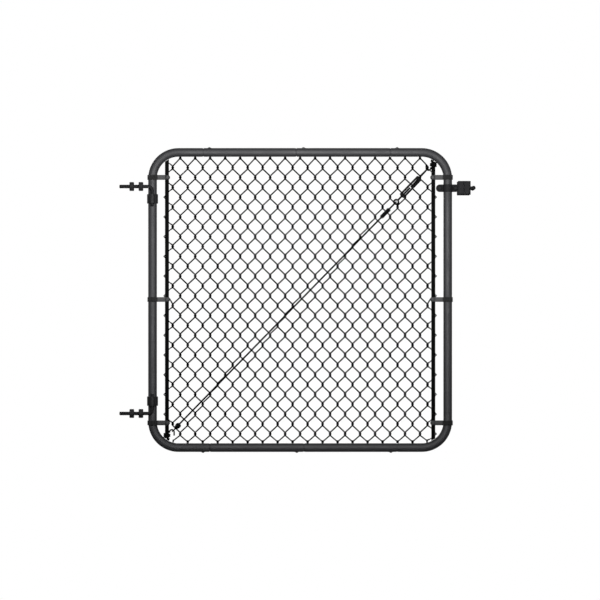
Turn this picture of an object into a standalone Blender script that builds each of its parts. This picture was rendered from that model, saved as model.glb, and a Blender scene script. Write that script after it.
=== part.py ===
"""Chain link gate leaf with post hinge bolts, truss cable and fork latch, in metres, +Z up."""

from math import asin, atan2, cos, hypot, pi, radians, sin, sqrt

import bmesh
import bpy
from mathutils import Matrix, Vector

# Clearance between neighbouring pieces
GAP = 0.0003

# Where the leaf sits in the shared frame
SEAT_RISE = 0.0099
SEAT_TO_PINTLE = 0.0542
PINTLE_FORWARD = 0.0281

# Frame of round tube
WIDTH = 1.2192
HEIGHT = 1.2192
TUBE_R = 0.01745
TUBE_WALL = 0.0016
TUBE_SIDES = 16
BEND_R = 0.1040
BEND_STEPS = 8
MALE_LEG = 0.1002
SOCKET_LEG = 0.1252
MIDDLE_SEAM = -0.0145
SWAGE_LENGTH = 0.0450
SWAGE_SHOULDER = 0.0010
SOCKET_SPARE = 0.0050

# Woven wire fabric
COLUMNS = 17
EDGE_LEG = 0.0152
ROW = 0.07917
WIRE = 0.0040
KNUCKLE_GAP = 0.0036
EDGE_WIRE_R = 0.00175
EDGE_WIRE_SIDES = 4
EDGE_WIRE_ROOM = 0.0027
EDGE_HOOK_RISE = 0.0035
EDGE_HOOK_ROOM = 0.0009
EDGE_END_RISE = 0.0165
EDGE_LAST_RISE = 0.0010
TAB_CLEARANCE = 0.0110
DODGE_AT_BOLT = 0.0029
DODGE_AT_EDGE = 0.0069

# Flat bars down the sides of the fabric
BAR_FROM_TUBE = 0.05785
BAR_WIDTH = 0.0159
BAR_THICK = 0.0048
BAR_END_GAP = 0.0007

# Bands that tie the bars to the frame
BAND_TOP_DROP = 0.1176
BAND_MIDDLE = 0.0020
BAND_BOTTOM_RISE = 0.1166
BAND_HEIGHT = 0.0190
BAND_THICK = 0.0028
BAND_TAB_GAP = 0.0138
BAND_BOLT_OUT = 0.0600
BAND_SLACK = 0.0007
BAND_STEPS = 12
WRAP_EASE = 1.17
TAB_START = 0.0225
STRAP_END_ANGLE = radians(14)

# Post hinge bolts
BOLT_DROP = 0.1552
BOLT_R = 0.00635
BOLT_SIDES = 12
BOLT_REACH = 0.1315
BOLT_BEND_R = 0.0176
BOLT_TIP = 0.0012
PINTLE_LENGTH = 0.0780
NUT_FLATS = 0.0320
NUT_THICK = 0.0179
NUT_BEVEL = 0.0013
NUT_FACE_SHARE = 0.97
NUT_SPACE = 0.0187

# Hinge straps on the leaf
STRAP_BELOW_BOLT = 0.0487
STRAP_HEIGHT = 0.0370
STRAP_THICK = 0.0042
STRAP_CHAMFER = 0.0020
STRAP_SLIT = 0.0040
STRAP_TAB_REACH = 0.0480
BARREL_WALL = 0.0048

# Latch clamp
LATCH_DROP = 0.1611
CLAMP_HEIGHT = 0.0300
CLAMP_THICK = 0.0035
CLAMP_SPACE = 0.0070
CLAMP_EAR = 0.0470
CLAMP_STEPS = 8
CLAMP_BOLT_OUT = 0.0320
CLAMP_BOLT_R = 0.00475
BOLT_HEAD_R = 0.0104
BOLT_CROWN_R = 0.0099
BOLT_HEAD_RISE = 0.0055
BOLT_HEAD_EDGE = 0.0025
PIVOT_NUT_FLATS = 0.0143
PIVOT_NUT_THICK = 0.0082

# Latch fork that lifts off the post
TONGUE_THICK = 0.0064
TONGUE_R = 0.0085
TONGUE_EYE_WALL = 0.0030
FORK_ROD_R = 0.0060
FORK_SIDES = 10
FORK_OUT = 0.0265
FORK_BEND_R = 0.0150
FORK_BALL_OUT = 0.0696
FORK_BALL_R = 0.0086
FORK_BALL_STEPS = 5
FORK_BALL_END = radians(18)
FORK_INNER = 0.0320
JAW_THICK = 0.0030
JAW_START = 0.0068
JAW_LENGTH = 0.0511
JAW_HEIGHT = 0.0552
JAW_CORNER = 0.0020
BEAD_OUT = 0.0314
BEAD_WIDTH = 0.0052
BEAD_RISE = 0.0016

# Truss cable and turnbuckle
TRUSS_FORWARD = 0.0120
ANCHOR_ROD_R = 0.0024
ANCHOR_SIDES = 6
ANCHOR_CORNERS = 6
ANCHOR_START_DROP = 0.0150
ANCHOR_OVER_IN = 0.0043
ANCHOR_TAIL_DROP = 0.0040
ANCHOR_HOOK_R = 0.0092
ANCHOR_HOOK_IN = 0.0200
ANCHOR_HOOK_DROP = 0.0258
ANCHOR_TIP_RISE = 0.0144
CABLE_R = 0.0025
CABLE_SIDES = 8
SLEEVE_BEFORE_EYE = 0.0627
SLEEVE_LENGTH = 0.0470
SLEEVE_WIDTH = 0.0145
SLEEVE_DEPTH = 0.0169
SLEEVE_CRIMP = 0.0030
SLEEVE_END_SHARE = 0.83
SLEEVE_ROUNDING = 0.75
SLEEVE_SIDES = 16
EYE_BEFORE_BODY = 0.0302
EYE_R = 0.00935
EYE_ROD_R = 0.00265
EYE_SIDES = 8
EYE_STEPS = 8
BODY_TO_GRIP = 0.0421
BODY_LENGTH = 0.1060
BODY_WIDTH = 0.0220
BODY_THICK = 0.0130
BODY_SIDE = 0.0055
BODY_BOSS = 0.0140
BODY_TAPER = 0.0060
BODY_SLANT = 0.0036
ROD_THICK_R = 0.0047
ROD_SLIM_R = 0.0030
ROD_SIDES = 10
ROD_SPACE = 0.0040
HOOK_EYE_R = 0.0060
HOOK_EYE_ROD_R = 0.0027
SOCKET_R = 0.0110
SOCKET_START = 0.0085
SOCKET_NECK_R = 0.0036
SOCKET_SHOULDER_R = 0.0095
SOCKET_MOUTH_R = 0.0057
SOCKET_WIDE = 0.0240
SOCKET_END = 0.0365

# Values that follow from the ones above
FLAT_SHARE = cos(pi / TUBE_SIDES)
SOCKET_BORE_R = TUBE_R * FLAT_SHARE - TUBE_WALL
RAIL_Z = HEIGHT / 2 - TUBE_R
STILE_X = WIDTH / 2 - TUBE_R
SEAMS = (BEND_R + MALE_LEG - STILE_X, MIDDLE_SEAM, STILE_X - BEND_R - SOCKET_LEG)
BAR_FROM_CENTRE = STILE_X - BAR_FROM_TUBE
BAR_PAST_BEND = BAR_FROM_CENTRE + BAR_WIDTH / 2 - (STILE_X - BEND_R)
BAR_HALF = RAIL_Z - BEND_R + sqrt((BEND_R - TUBE_R) ** 2 - BAR_PAST_BEND**2) - BAR_END_GAP
COLUMN = (BAR_FROM_CENTRE - BAR_WIDTH / 2 - EDGE_LEG) / COLUMNS
BAND_ROWS = (HEIGHT / 2 - BAND_TOP_DROP, BAND_MIDDLE, BAND_BOTTOM_RISE - HEIGHT / 2)
BOLT_ROW = HEIGHT / 2 - BOLT_DROP
STRAP_ROW = BOLT_ROW - STRAP_BELOW_BOLT
LATCH_ROW = HEIGHT / 2 - LATCH_DROP
ANCHOR_HOOK_X = BAR_FROM_CENTRE - ANCHOR_HOOK_IN
ANCHOR_HOOK_Z = BAR_HALF - ANCHOR_HOOK_DROP
ANCHOR_TIP_Z = ANCHOR_HOOK_Z + ANCHOR_TIP_RISE
LEAF = Vector((SEAT_TO_PINTLE + STILE_X, PINTLE_FORWARD, BOLT_ROW - SEAT_RISE))
PINTLE = Vector((-STILE_X, -PINTLE_FORWARD, 0.0))
PIVOT = Vector((STILE_X + CLAMP_BOLT_OUT, 0.0, LATCH_ROW))
TRUSS_X = ANCHOR_HOOK_X - ANCHOR_HOOK_R / sqrt(2)
TRUSS_Z = ANCHOR_HOOK_Z - ANCHOR_HOOK_R / sqrt(2)
TRUSS_HALF = hypot(TRUSS_X, TRUSS_Z)
TRUSS_SPOT = (0.0, -TRUSS_FORWARD, 0.0)
TRUSS_TURN = (0.0, -atan2(TRUSS_Z, TRUSS_X), 0.0)
BODY_START = TRUSS_HALF - BODY_TO_GRIP - BODY_LENGTH
BODY_END = BODY_START + BODY_LENGTH
BODY_MIDDLE = BODY_START + BODY_LENGTH / 2
EYE_AT = BODY_START - EYE_BEFORE_BODY
SLEEVE_START = EYE_AT - SLEEVE_BEFORE_EYE - SLEEVE_LENGTH / 2
SLEEVE_END = SLEEVE_START + SLEEVE_LENGTH
STRAND = CABLE_R + GAP

RIGHT = Vector((1.0, 0.0, 0.0))
BACK = Vector((0.0, 1.0, 0.0))
UP = Vector((0.0, 0.0, 1.0))
NO_TURN = (0.0, 0.0, 0.0)
HALF_TURN = (0.0, pi, 0.0)
ROUND_ABOUT = (0.0, 0.0, pi)
OVER = (pi, 0.0, 0.0)

# Paints as colour and roughness
FRAME_PAINT = ((0.085, 0.085, 0.090), 0.45)
FITTING_PAINT = ((0.035, 0.035, 0.037), 0.50)
WIRE_PAINT = ((0.006, 0.006, 0.007), 0.60)


def clear_scene():
    for thing in list(bpy.data.objects):
        bpy.data.objects.remove(thing, do_unlink=True)


def pivot_empty(name, place, parent=None):
    empty = bpy.data.objects.new(name, None)
    empty.empty_display_size = 0.05
    bpy.context.collection.objects.link(empty)
    empty.parent = parent
    empty.location = place - (parent.location if parent else Vector())
    bpy.context.view_layer.update()
    return empty


def painted(name, paint):
    colour, roughness = paint
    made = bpy.data.materials.new(name + "_paint")
    made.use_nodes = True
    shader = made.node_tree.nodes["Principled BSDF"]
    shader.inputs["Base Color"].default_value = (*colour, 1.0)
    shader.inputs["Roughness"].default_value = roughness
    return made


def piece(name, shape, parent=None, spot=(0.0, 0.0, 0.0), turn=NO_TURN, paint=FITTING_PAINT, smooth=32):
    """Makes one named object from a curve or a bmesh at a spot of the leaf's own frame."""
    data = shape
    if isinstance(shape, bmesh.types.BMesh):
        data = bpy.data.meshes.new(name)
        shape.to_mesh(data)
        shape.free()
        data.shade_smooth()
        data.set_sharp_from_angle(angle=radians(smooth))
    made = bpy.data.objects.new(name, data)
    bpy.context.collection.objects.link(made)
    made.parent = parent
    made.location = LEAF + Vector(spot)
    if parent:
        made.location -= parent.matrix_world.translation
    made.rotation_euler = turn
    data.materials.append(painted(name, paint))
    return made


def cut(target, shape, name):
    """Cuts a hidden shape, given in the target's own frame, out of a piece."""
    data = bpy.data.meshes.new(name)
    shape.to_mesh(data)
    shape.free()
    cutter = bpy.data.objects.new(name, data)
    bpy.context.collection.objects.link(cutter)
    cutter.parent = target
    cutter.hide_render = True
    cutter.display_type = "WIRE"
    step = target.modifiers.new(name, "BOOLEAN")
    step.operation = "DIFFERENCE"
    step.solver = "EXACT"
    step.object = cutter


# Shapes that the pieces are made of

def arc(centre, radius, start, end, steps):
    """Points of an arc in a plane, angles from the first axis, both ends kept."""
    turns = [start + (end - start) * i / steps for i in range(steps + 1)]
    return [(centre[0] + radius * cos(a), centre[1] + radius * sin(a)) for a in turns]


def around(radius, sides):
    """Radius of a polygon whose flats clear a circle of this radius."""
    return radius / cos(pi / sides)


def clear_arc(radius, start, end, steps):
    """Points of an arc whose chords, not its corners, lie at this radius."""
    return arc((0, 0), radius / cos((end - start) / steps / 2), start, end, steps)


def rod(name, points, radius, sides, radii=None):
    """A round rod along a path, as a curve with a bevel; radii taper it point by point."""
    data = bpy.data.curves.new(name, "CURVE")
    data.dimensions = "3D"
    data.bevel_depth = radius
    data.bevel_resolution = sides // 2 - 2
    data.use_fill_caps = True
    line = data.splines.new("POLY")
    line.points.add(len(points) - 1)
    for knot, point, own in zip(line.points, points, radii or [radius] * len(points)):
        knot.co = (*point, 1.0)
        knot.radius = own / radius
    return data


def closed_mesh(curve):
    """The closed shape of a rod, for cutting or for work on its faces."""
    guide = bpy.data.objects.new(curve.name, curve)
    data = bpy.data.meshes.new_from_object(guide)
    shape = bmesh.new()
    shape.from_mesh(data)
    bmesh.ops.remove_doubles(shape, verts=shape.verts, dist=0.00001)
    bpy.data.objects.remove(guide)
    bpy.data.meshes.remove(data)
    return shape


def round_bar(radius, length, centre, axis, sides=12):
    shape = bmesh.new()
    turn = UP.rotation_difference(axis).to_matrix().to_4x4()
    place = Matrix.Translation(centre) @ turn
    bmesh.ops.create_cone(
        shape, cap_ends=True, segments=sides, radius1=radius, radius2=radius, depth=length, matrix=place
    )
    return shape


def loft(rings, loop=False):
    """Joins rings of equal count, capped at both ends unless the last meets the first."""
    shape = bmesh.new()
    lines = [[shape.verts.new(point) for point in ring] for ring in rings]
    for near, far in zip(lines, lines[1:] + (lines[:1] if loop else [])):
        for one, two, three, four in zip(near, near[1:] + near[:1], far[1:] + far[:1], far):
            shape.faces.new((one, two, three, four))
    if not loop:
        shape.faces.new(lines[0])
        shape.faces.new(lines[-1])
    bmesh.ops.recalc_face_normals(shape, faces=shape.faces)
    return shape


def turned(stations, sides=12):
    """Rings of (distance, radius) about the X axis; a pair of radii makes them six-sided."""
    rings = []
    for distance, radius in stations:
        reach = radius if isinstance(radius, tuple) else (radius, radius)
        spokes = [(reach[i % 2], 2 * pi * i / sides) for i in range(sides)]
        rings.append([Vector((distance, r * sin(a), r * cos(a))) for r, a in spokes])
    return rings


def hexagon(flats):
    """Corner and flat radius of a hexagon."""
    return (around(flats / 2, 6), flats / 2)


def plate(outline, thick):
    """An outline in X and Z, extruded front to back about its middle."""
    shape = bmesh.new()
    face = shape.faces.new([shape.verts.new((x, -thick / 2, z)) for x, z in outline])
    raise_faces(shape, [face], BACK * thick)
    return shape


def raise_faces(shape, faces, way):
    """Extrudes faces and moves them."""
    grown = bmesh.ops.extrude_face_region(shape, geom=faces)["geom"]
    bmesh.ops.translate(shape, verts=[v for v in grown if isinstance(v, bmesh.types.BMVert)], vec=way)
    bmesh.ops.recalc_face_normals(shape, faces=shape.faces)


def strap(name, path, heights, thick, **placing):
    """A strap on edge: a line in plan, raised to a height at each point, then thickened."""
    shape = bmesh.new()
    low = [shape.verts.new((x, y, -height)) for (x, y), height in zip(path, heights)]
    line = [shape.edges.new(pair) for pair in zip(low, low[1:])]
    grown = bmesh.ops.extrude_edge_only(shape, edges=line)["geom"]
    for vert in grown:
        if isinstance(vert, bmesh.types.BMVert):
            vert.co.z = -vert.co.z
    made = piece(name, shape, **placing)
    sheet = made.modifiers.new("sheet", "SOLIDIFY")
    sheet.thickness = thick
    sheet.offset = 0.0
    sheet.use_even_offset = True
    return made


def round_end(reach, half, steps):
    """Points along a round strap end, from its tip back, and the half heights there."""
    first = STRAP_END_ANGLE
    turns = [first + (pi / 2 - first) * i / steps for i in range(steps + 1)]
    return [(reach - half + half * cos(a), half * sin(a)) for a in turns]


# Frame tubes, each with one reduced end that slides into the next one's socket

def frame_tube(name, seam, path, tail, leaf, turn=NO_TURN):
    """A tube from its reduced end, along a path, to a hollow end that takes the next one."""
    swage_r = SOCKET_BORE_R - GAP
    shoulder = seam - RIGHT * (GAP / 2)
    points = [seam + RIGHT * SWAGE_LENGTH, shoulder, shoulder - RIGHT * SWAGE_SHOULDER, *path, tail]
    radii = [swage_r, swage_r] + [TUBE_R] * (len(path) + 2)
    shape = closed_mesh(rod(name, points, TUBE_R, TUBE_SIDES, radii))
    way = (tail - points[-2]).normalized()
    end = [face for face in shape.faces if (face.calc_center_median() - tail).length < TUBE_R
           and abs(face.normal.dot(way)) > FLAT_SHARE]
    mouth = bmesh.ops.dissolve_faces(shape, faces=end)["region"]
    wall = TUBE_R * FLAT_SHARE - SOCKET_BORE_R
    bmesh.ops.inset_individual(shape, faces=mouth, thickness=wall, use_even_offset=True)
    bore = bmesh.ops.extrude_discrete_faces(shape, faces=mouth)["faces"]
    depth = SWAGE_LENGTH + SOCKET_SPARE
    bmesh.ops.translate(shape, verts=bore[0].verts, vec=-way * depth)
    piece(name, shape, leaf, turn=turn, paint=FRAME_PAINT)


def frame_tubes(leaf):
    bend_x, bend_z = STILE_X - BEND_R, RAIL_Z - BEND_R
    upper = arc((-bend_x, bend_z), BEND_R, pi / 2, pi, BEND_STEPS)
    lower = arc((-bend_x, -bend_z), BEND_R, pi, 3 * pi / 2, BEND_STEPS)
    bends = [Vector((x, 0, z)) for x, z in upper + lower]
    low_end = Vector((-SEAMS[2] - GAP / 2, 0, -RAIL_Z))
    seams = [Vector((x, 0, RAIL_Z)) for x in SEAMS]
    for side_name, left_name, right_name, turn in (
        ("frame_tube_left", "top_rail_left", "top_rail_right", NO_TURN),
        ("frame_tube_right", "bottom_rail_right", "bottom_rail_left", HALF_TURN),
    ):
        frame_tube(side_name, seams[0], bends, low_end, leaf, turn)
        frame_tube(left_name, seams[1], [], seams[0] + RIGHT * (GAP / 2), leaf, turn)
        frame_tube(right_name, seams[2], [], seams[1] + RIGHT * (GAP / 2), leaf, turn)


# Fabric as a flat lattice in two halves, with a round wire down each edge

def opening_half(x):
    """Half the clear height inside the frame at a distance from its middle."""
    past = abs(x) - (STILE_X - BEND_R)
    if past <= 0:
        return RAIL_Z - TUBE_R
    return RAIL_Z - BEND_R + sqrt((BEND_R - TUBE_R) ** 2 - past**2)


def knuckle_rows(column):
    """Heights where wires cross on one column, the lowest held above the tube below it."""
    limit = RAIL_Z - TUBE_R - KNUCKLE_GAP
    lowest = -(opening_half(min(abs(column), COLUMNS) * COLUMN) - KNUCKLE_GAP)
    start = limit if column % 2 == 0 else limit - ROW / 2
    rows = []
    while start > -limit - ROW / 4:
        rows.append(max(start, lowest))
        start -= ROW
    return rows


def lattice(first, last):
    """Three-sided bars, flat behind and ridged in front, that meet where the wires cross."""
    slope = ROW / 2 / COLUMN
    rise = WIRE / 2 * hypot(1.0, slope)
    run = rise / slope
    corners = {"top": (0, rise), "low": (0, -rise), "left": (-run, 0), "right": (run, 0), "ridge": (0, 0)}
    crossings = [(j, k) for j in range(first, last + 1) for k in range(len(knuckle_rows(j)))]
    shape = bmesh.new()
    knots = {}
    for j, k in crossings:
        for corner, (dx, dz) in corners.items():
            if j == first:
                dx = max(dx, GAP / 2)
            if j == last:
                dx = min(dx, -GAP / 2)
            depth = -WIRE / 2 if corner == "ridge" else WIRE / 2
            knots[j, k, corner] = shape.verts.new((j * COLUMN + dx, depth, knuckle_rows(j)[k] + dz))
    joined = set()
    for j, k in crossings:
        for way, near, far in ((1, "right", "left"), (-1, "left", "right")):
            here, there = (j, k), (j + way, k if j % 2 == 0 else k + 1)
            if there not in crossings:
                continue
            joined |= {(here, near, "low"), (there, far, "top")}
            for spots in (
                ((here, "low"), (here, near), (there, "top"), (there, far)),
                ((here, near), (here, "ridge"), (there, "ridge"), (there, "top")),
                ((here, "ridge"), (here, "low"), (there, far), (there, "ridge")),
            ):
                shape.faces.new([knots[(*hub, corner)] for hub, corner in spots])
    for hub in crossings:
        sides = ["low", "left", "top", "right"]
        if hub[0] == first:
            sides.remove("left")
        if hub[0] == last:
            sides.remove("right")
        shape.faces.new([knots[(*hub, corner)] for corner in sides])
        for one, two in zip(sides, sides[1:] + sides[:1]):
            if not {(hub, one, two), (hub, two, one)} & joined:
                shape.faces.new([knots[(*hub, corner)] for corner in (one, two, "ridge")])
    for vert in [v for v in shape.verts if not v.link_faces]:
        shape.verts.remove(vert)
    bmesh.ops.recalc_face_normals(shape, faces=shape.faces)
    return shape


def edge_wire(way, rows, free_end):
    """The outermost wire of one side: it winds round the flat bar, row by row."""
    near = COLUMNS * COLUMN + EDGE_WIRE_ROOM
    depth = BAR_THICK / 2 + 2 * GAP + EDGE_WIRE_R
    outside = BAR_FROM_CENTRE + BAR_WIDTH / 2
    inside = BAR_FROM_CENTRE - BAR_WIDTH / 2 - EDGE_WIRE_R - GAP
    corner = outside + EDGE_HOOK_ROOM
    tip = outside + 2 * EDGE_WIRE_R + 2 * GAP
    bolt_x = STILE_X - BAND_BOLT_OUT
    hubs = knuckle_rows(COLUMNS)[:rows + 1]
    loops = knuckle_rows(COLUMNS + 1)[1:]
    path = [(near, 0.0, hubs[0] + EDGE_WIRE_R)]
    if free_end:
        path = [(inside + 2 * EDGE_WIRE_R, depth, hubs[0] + EDGE_END_RISE + EDGE_WIRE_R),
                (inside, depth, hubs[0] + EDGE_END_RISE)]
    for top, z, hub in zip(hubs, loops, hubs[1:]):
        share = (tip - inside) / (tip - near)
        high, low = z + (top - z) * share, z + (hub - z) * share
        path += [(near, 0.0, top), (inside, -depth, high), (corner, -depth, z + EDGE_HOOK_RISE),
                 (tip, 0.0, z), (corner, depth, z - EDGE_HOOK_RISE)]
        crossing = z + (low - z) * (tip - bolt_x) / (tip - inside)
        if any(abs(crossing - row) < TAB_CLEARANCE for row in BAND_ROWS):
            path += [(bolt_x + GAP * 3, depth, z - EDGE_HOOK_RISE - DODGE_AT_BOLT),
                     (inside + EDGE_HOOK_ROOM, depth, z - EDGE_HOOK_RISE - DODGE_AT_EDGE)]
        else:
            path.append((inside, depth, low))
    path.append((near, 0.0, hubs[-1] + EDGE_LAST_RISE))
    return [Vector((way * x, y, z)) for x, y, z in path]


def fabric(leaf):
    piece("fabric_left", lattice(-COLUMNS, 0), leaf, paint=WIRE_PAINT, smooth=10)
    piece("fabric_right", lattice(0, COLUMNS), leaf, paint=WIRE_PAINT, smooth=10)
    rows = len(knuckle_rows(COLUMNS)) - 1
    for name, way, count, free_end in (
        ("fabric_edge_left", -1, rows - 1, True),
        ("fabric_edge_right", 1, rows, False),
    ):
        wire = rod(name, edge_wire(way, count, free_end), EDGE_WIRE_R, EDGE_WIRE_SIDES)
        piece(name, wire, leaf, paint=WIRE_PAINT)


# Flat bars and the bands that hold them

def bars_and_bands(leaf):
    wide = BAR_WIDTH / 2
    outline = [(-wide, -BAR_HALF), (wide, -BAR_HALF), (wide, BAR_HALF), (-wide, BAR_HALF)]
    for side, way, turn in (("left", -1, NO_TURN), ("right", 1, ROUND_ABOUT)):
        spot = (way * BAR_FROM_CENTRE, 0.0, 0.0)
        piece(f"tension_bar_{side}", plate(outline, BAR_THICK), leaf, spot, paint=WIRE_PAINT)
        for label, row in zip(("top", "middle", "bottom"), BAND_ROWS):
            path, heights = band_line(row)
            strap(f"band_{side}_{label}", path, heights, BAND_THICK, parent=leaf,
                  spot=(way * STILE_X, 0.0, row), turn=turn)


def band_line(row):
    """Plan of a strap round the tube; one that reaches onto the bend sits slack, a little inwards."""
    slack = BAND_SLACK if abs(row) + BAND_HEIGHT / 2 > RAIL_Z - BEND_R else 0.0
    middle_r = TUBE_R + GAP + slack + BAND_THICK / 2
    tab_y = (BAND_TAB_GAP + BAND_THICK) / 2
    half = BAND_HEIGHT / 2
    join = WRAP_EASE * asin(tab_y / middle_r)
    end = round_end(BAND_BOLT_OUT + half, half, 3)
    wrap = [(x + slack, y) for x, y in clear_arc(middle_r, -join, join - 2 * pi, BAND_STEPS)]
    path = [(x, -tab_y) for x, _ in end] + [(TAB_START, -tab_y), *wrap, (TAB_START, tab_y)]
    path += [(x, tab_y) for x, _ in reversed(end)]
    tips = [height for _, height in end]
    return path, tips + [half] * (len(wrap) + 2) + tips[::-1]


# Hinge bolts that go through the post, their nuts and the straps that take their pins

def hinge_bolts():
    bend = [(y - BOLT_BEND_R, x - BOLT_BEND_R) for x, y in arc((0, 0), BOLT_BEND_R, 0, pi / 2, 6)]
    points = [Vector((-BOLT_REACH, 0, 0)), Vector((BOLT_TIP - BOLT_REACH, 0, 0))]
    points += [Vector((x, 0, z)) for x, z in bend]
    points += [Vector((0, 0, BOLT_TIP - PINTLE_LENGTH)), Vector((0, 0, -PINTLE_LENGTH))]
    tip_r = BOLT_R - BOLT_TIP
    radii = [tip_r] + [BOLT_R] * (len(points) - 2) + [tip_r]
    corner_r, flat_r = hexagon(NUT_FLATS)
    face_r = NUT_FLATS / 2 * NUT_FACE_SHARE
    outside = [(0, face_r), (NUT_BEVEL, (corner_r, flat_r)),
               (NUT_THICK - NUT_BEVEL, (corner_r, flat_r)), (NUT_THICK, face_r)]
    bore_r = around(BOLT_R + GAP, BOLT_SIDES)
    seat = -SEAT_TO_PINTLE
    for label, sign, turn in (("top", 1, NO_TURN), ("bottom", -1, OVER)):
        row = PINTLE + UP * (sign * BOLT_ROW)
        name = f"hinge_bolt_{label}"
        piece(name, rod(name, points, BOLT_R, BOLT_SIDES, radii), spot=row, turn=turn)
        for which, face in (("inner", seat), ("outer", seat - NUT_SPACE - NUT_THICK)):
            nut = loft(turned([*outside, (NUT_THICK, bore_r), (0, bore_r)]), loop=True)
            piece(f"hinge_nut_{label}_{which}", nut, spot=row + RIGHT * face, smooth=20)


def strap_outline(trim):
    """Plan of a hinge strap round the tube with its barrel in front and two tabs behind."""
    inner_r, outer_r = TUBE_R + GAP, TUBE_R + GAP + STRAP_THICK - trim
    barrel_r = BOLT_R + GAP + BARREL_WALL - trim / 2
    reach = (outer_r**2 - barrel_r**2 + PINTLE_FORWARD**2) / (2 * PINTLE_FORWARD)
    wide = sqrt(outer_r**2 - reach**2)
    slit, tab = STRAP_SLIT / 2, STRAP_SLIT / 2 + STRAP_THICK
    right = arc((0, 0), outer_r, atan2(-reach, wide), pi / 2 - asin(tab / outer_r), 6)
    left = [(-x, y) for x, y in reversed(right)]
    turn = asin(slit / inner_r)
    inner = clear_arc(inner_r, pi / 2 - turn, -3 * pi / 2 + turn, 14)
    meet = atan2(-reach + PINTLE_FORWARD, wide)
    barrel = arc((0, -PINTLE_FORWARD), barrel_r, pi - meet, 2 * pi + meet, 8)[1:-1]
    return [*right, (tab, STRAP_TAB_REACH), (slit, STRAP_TAB_REACH), *inner,
            (-slit, STRAP_TAB_REACH), (-tab, STRAP_TAB_REACH), *left, *barrel]


def hinge_straps(leaf):
    half, step = STRAP_HEIGHT / 2, 1.5 * STRAP_CHAMFER
    levels = ((-half, STRAP_CHAMFER), (step - half, 0), (half - step, 0), (half, STRAP_CHAMFER))
    bore_r = around(BOLT_R + GAP, BOLT_SIDES)
    for label, sign in (("top", 1), ("bottom", -1)):
        rings = [[Vector((x, y, z)) for x, y in strap_outline(trim)] for z, trim in levels]
        made = piece(f"hinge_strap_{label}", loft(rings), leaf, (-STILE_X, 0.0, sign * STRAP_ROW))
        pin = round_bar(bore_r, 2 * STRAP_HEIGHT, -BACK * PINTLE_FORWARD, UP, BOLT_SIDES)
        cut(made, pin, f"strap_bore_{label}")


# Latch: a split clamp on the tube, a tongue between its ears and a fork with two jaws

def clamp_line():
    """Plan of one clamp half: round the tube's front, with a round-ended ear at each side."""
    middle_r = TUBE_R + GAP + CLAMP_THICK / 2
    ear_y = (CLAMP_SPACE + CLAMP_THICK) / 2
    half = CLAMP_HEIGHT / 2
    join = WRAP_EASE * asin(ear_y / middle_r)
    end = round_end(CLAMP_EAR, half, 4)
    wrap = clear_arc(middle_r, join - pi, -join, CLAMP_STEPS)
    path = [(-x, -ear_y) for x, _ in end] + [(-TAB_START, -ear_y), *wrap, (TAB_START, -ear_y)]
    path += [(x, -ear_y) for x, _ in reversed(end)]
    tips = [height for _, height in end]
    return path, tips + [half] * (len(wrap) + 2) + tips[::-1]


def latch_clamp(leaf):
    path, heights = clamp_line()
    hole_r = around(CLAMP_BOLT_R + GAP, 12)
    for label, way, turn in (("front", 1, NO_TURN), ("back", -1, ROUND_ABOUT)):
        made = strap(f"latch_clamp_{label}", path, heights, CLAMP_THICK, parent=leaf,
                     spot=(STILE_X, 0.0, LATCH_ROW), turn=turn)
        hole = round_bar(hole_r, 2 * CLAMP_EAR, RIGHT * (way * CLAMP_BOLT_OUT), BACK)
        cut(made, hole, f"clamp_hole_{label}")
    face = CLAMP_SPACE / 2 + CLAMP_THICK + GAP
    nut = hexagon(PIVOT_NUT_FLATS)
    stations = [
        (-face - BOLT_HEAD_RISE, CLAMP_BOLT_R), (-face - BOLT_HEAD_EDGE, BOLT_CROWN_R),
        (-face, BOLT_HEAD_R), (-face, CLAMP_BOLT_R), (face, CLAMP_BOLT_R), (face, nut),
        (face + PIVOT_NUT_THICK, nut),
    ]
    piece("latch_pivot_bolt", loft(turned(stations)), leaf, PIVOT, turn=(0.0, 0.0, pi / 2))


def latch_fork(pivot):
    eye_r = FORK_ROD_R + TONGUE_EYE_WALL
    lean = asin((eye_r - TONGUE_R) / FORK_OUT)
    outline = arc((0, 0), TONGUE_R, pi / 2 + lean, 3 * pi / 2 - lean, 6)
    outline += arc((FORK_OUT, 0), eye_r, -pi / 2 - lean, pi / 2 + lean, 6)
    tongue = piece("latch_tongue", plate(outline, TONGUE_THICK), pivot, PIVOT)
    for label, out, radius in (("pin", 0.0, CLAMP_BOLT_R), ("rod", FORK_OUT, FORK_ROD_R)):
        bore = round_bar(around(radius + GAP, 12), 2 * TONGUE_R, RIGHT * out, BACK)
        cut(tongue, bore, f"tongue_{label}_hole")

    side_y = FORK_INNER + FORK_ROD_R
    bend = arc((FORK_OUT + FORK_BEND_R, side_y - FORK_BEND_R), FORK_BEND_R, pi, pi / 2, 4)
    first = pi - asin(FORK_ROD_R / FORK_BALL_R)
    turns = [first + (FORK_BALL_END - first) * i / FORK_BALL_STEPS for i in range(FORK_BALL_STEPS + 1)]
    half = [(x, y, FORK_ROD_R) for x, y in bend]
    half += [(FORK_BALL_OUT + FORK_BALL_R * cos(a), side_y, FORK_BALL_R * sin(a)) for a in turns]
    stations = [(x, -y, radius) for x, y, radius in reversed(half)] + half
    points = [Vector((x, y, 0)) for x, y, _ in stations]
    fork = rod("latch_fork", points, FORK_ROD_R, FORK_SIDES, [radius for *_, radius in stations])
    piece("latch_fork", fork, pivot, PIVOT)

    face = side_y + FORK_ROD_R + GAP
    for label, way in (("front", -1), ("back", 1)):
        piece(f"latch_jaw_{label}", jaw(way), pivot, PIVOT + BACK * (way * face), smooth=20)


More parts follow.
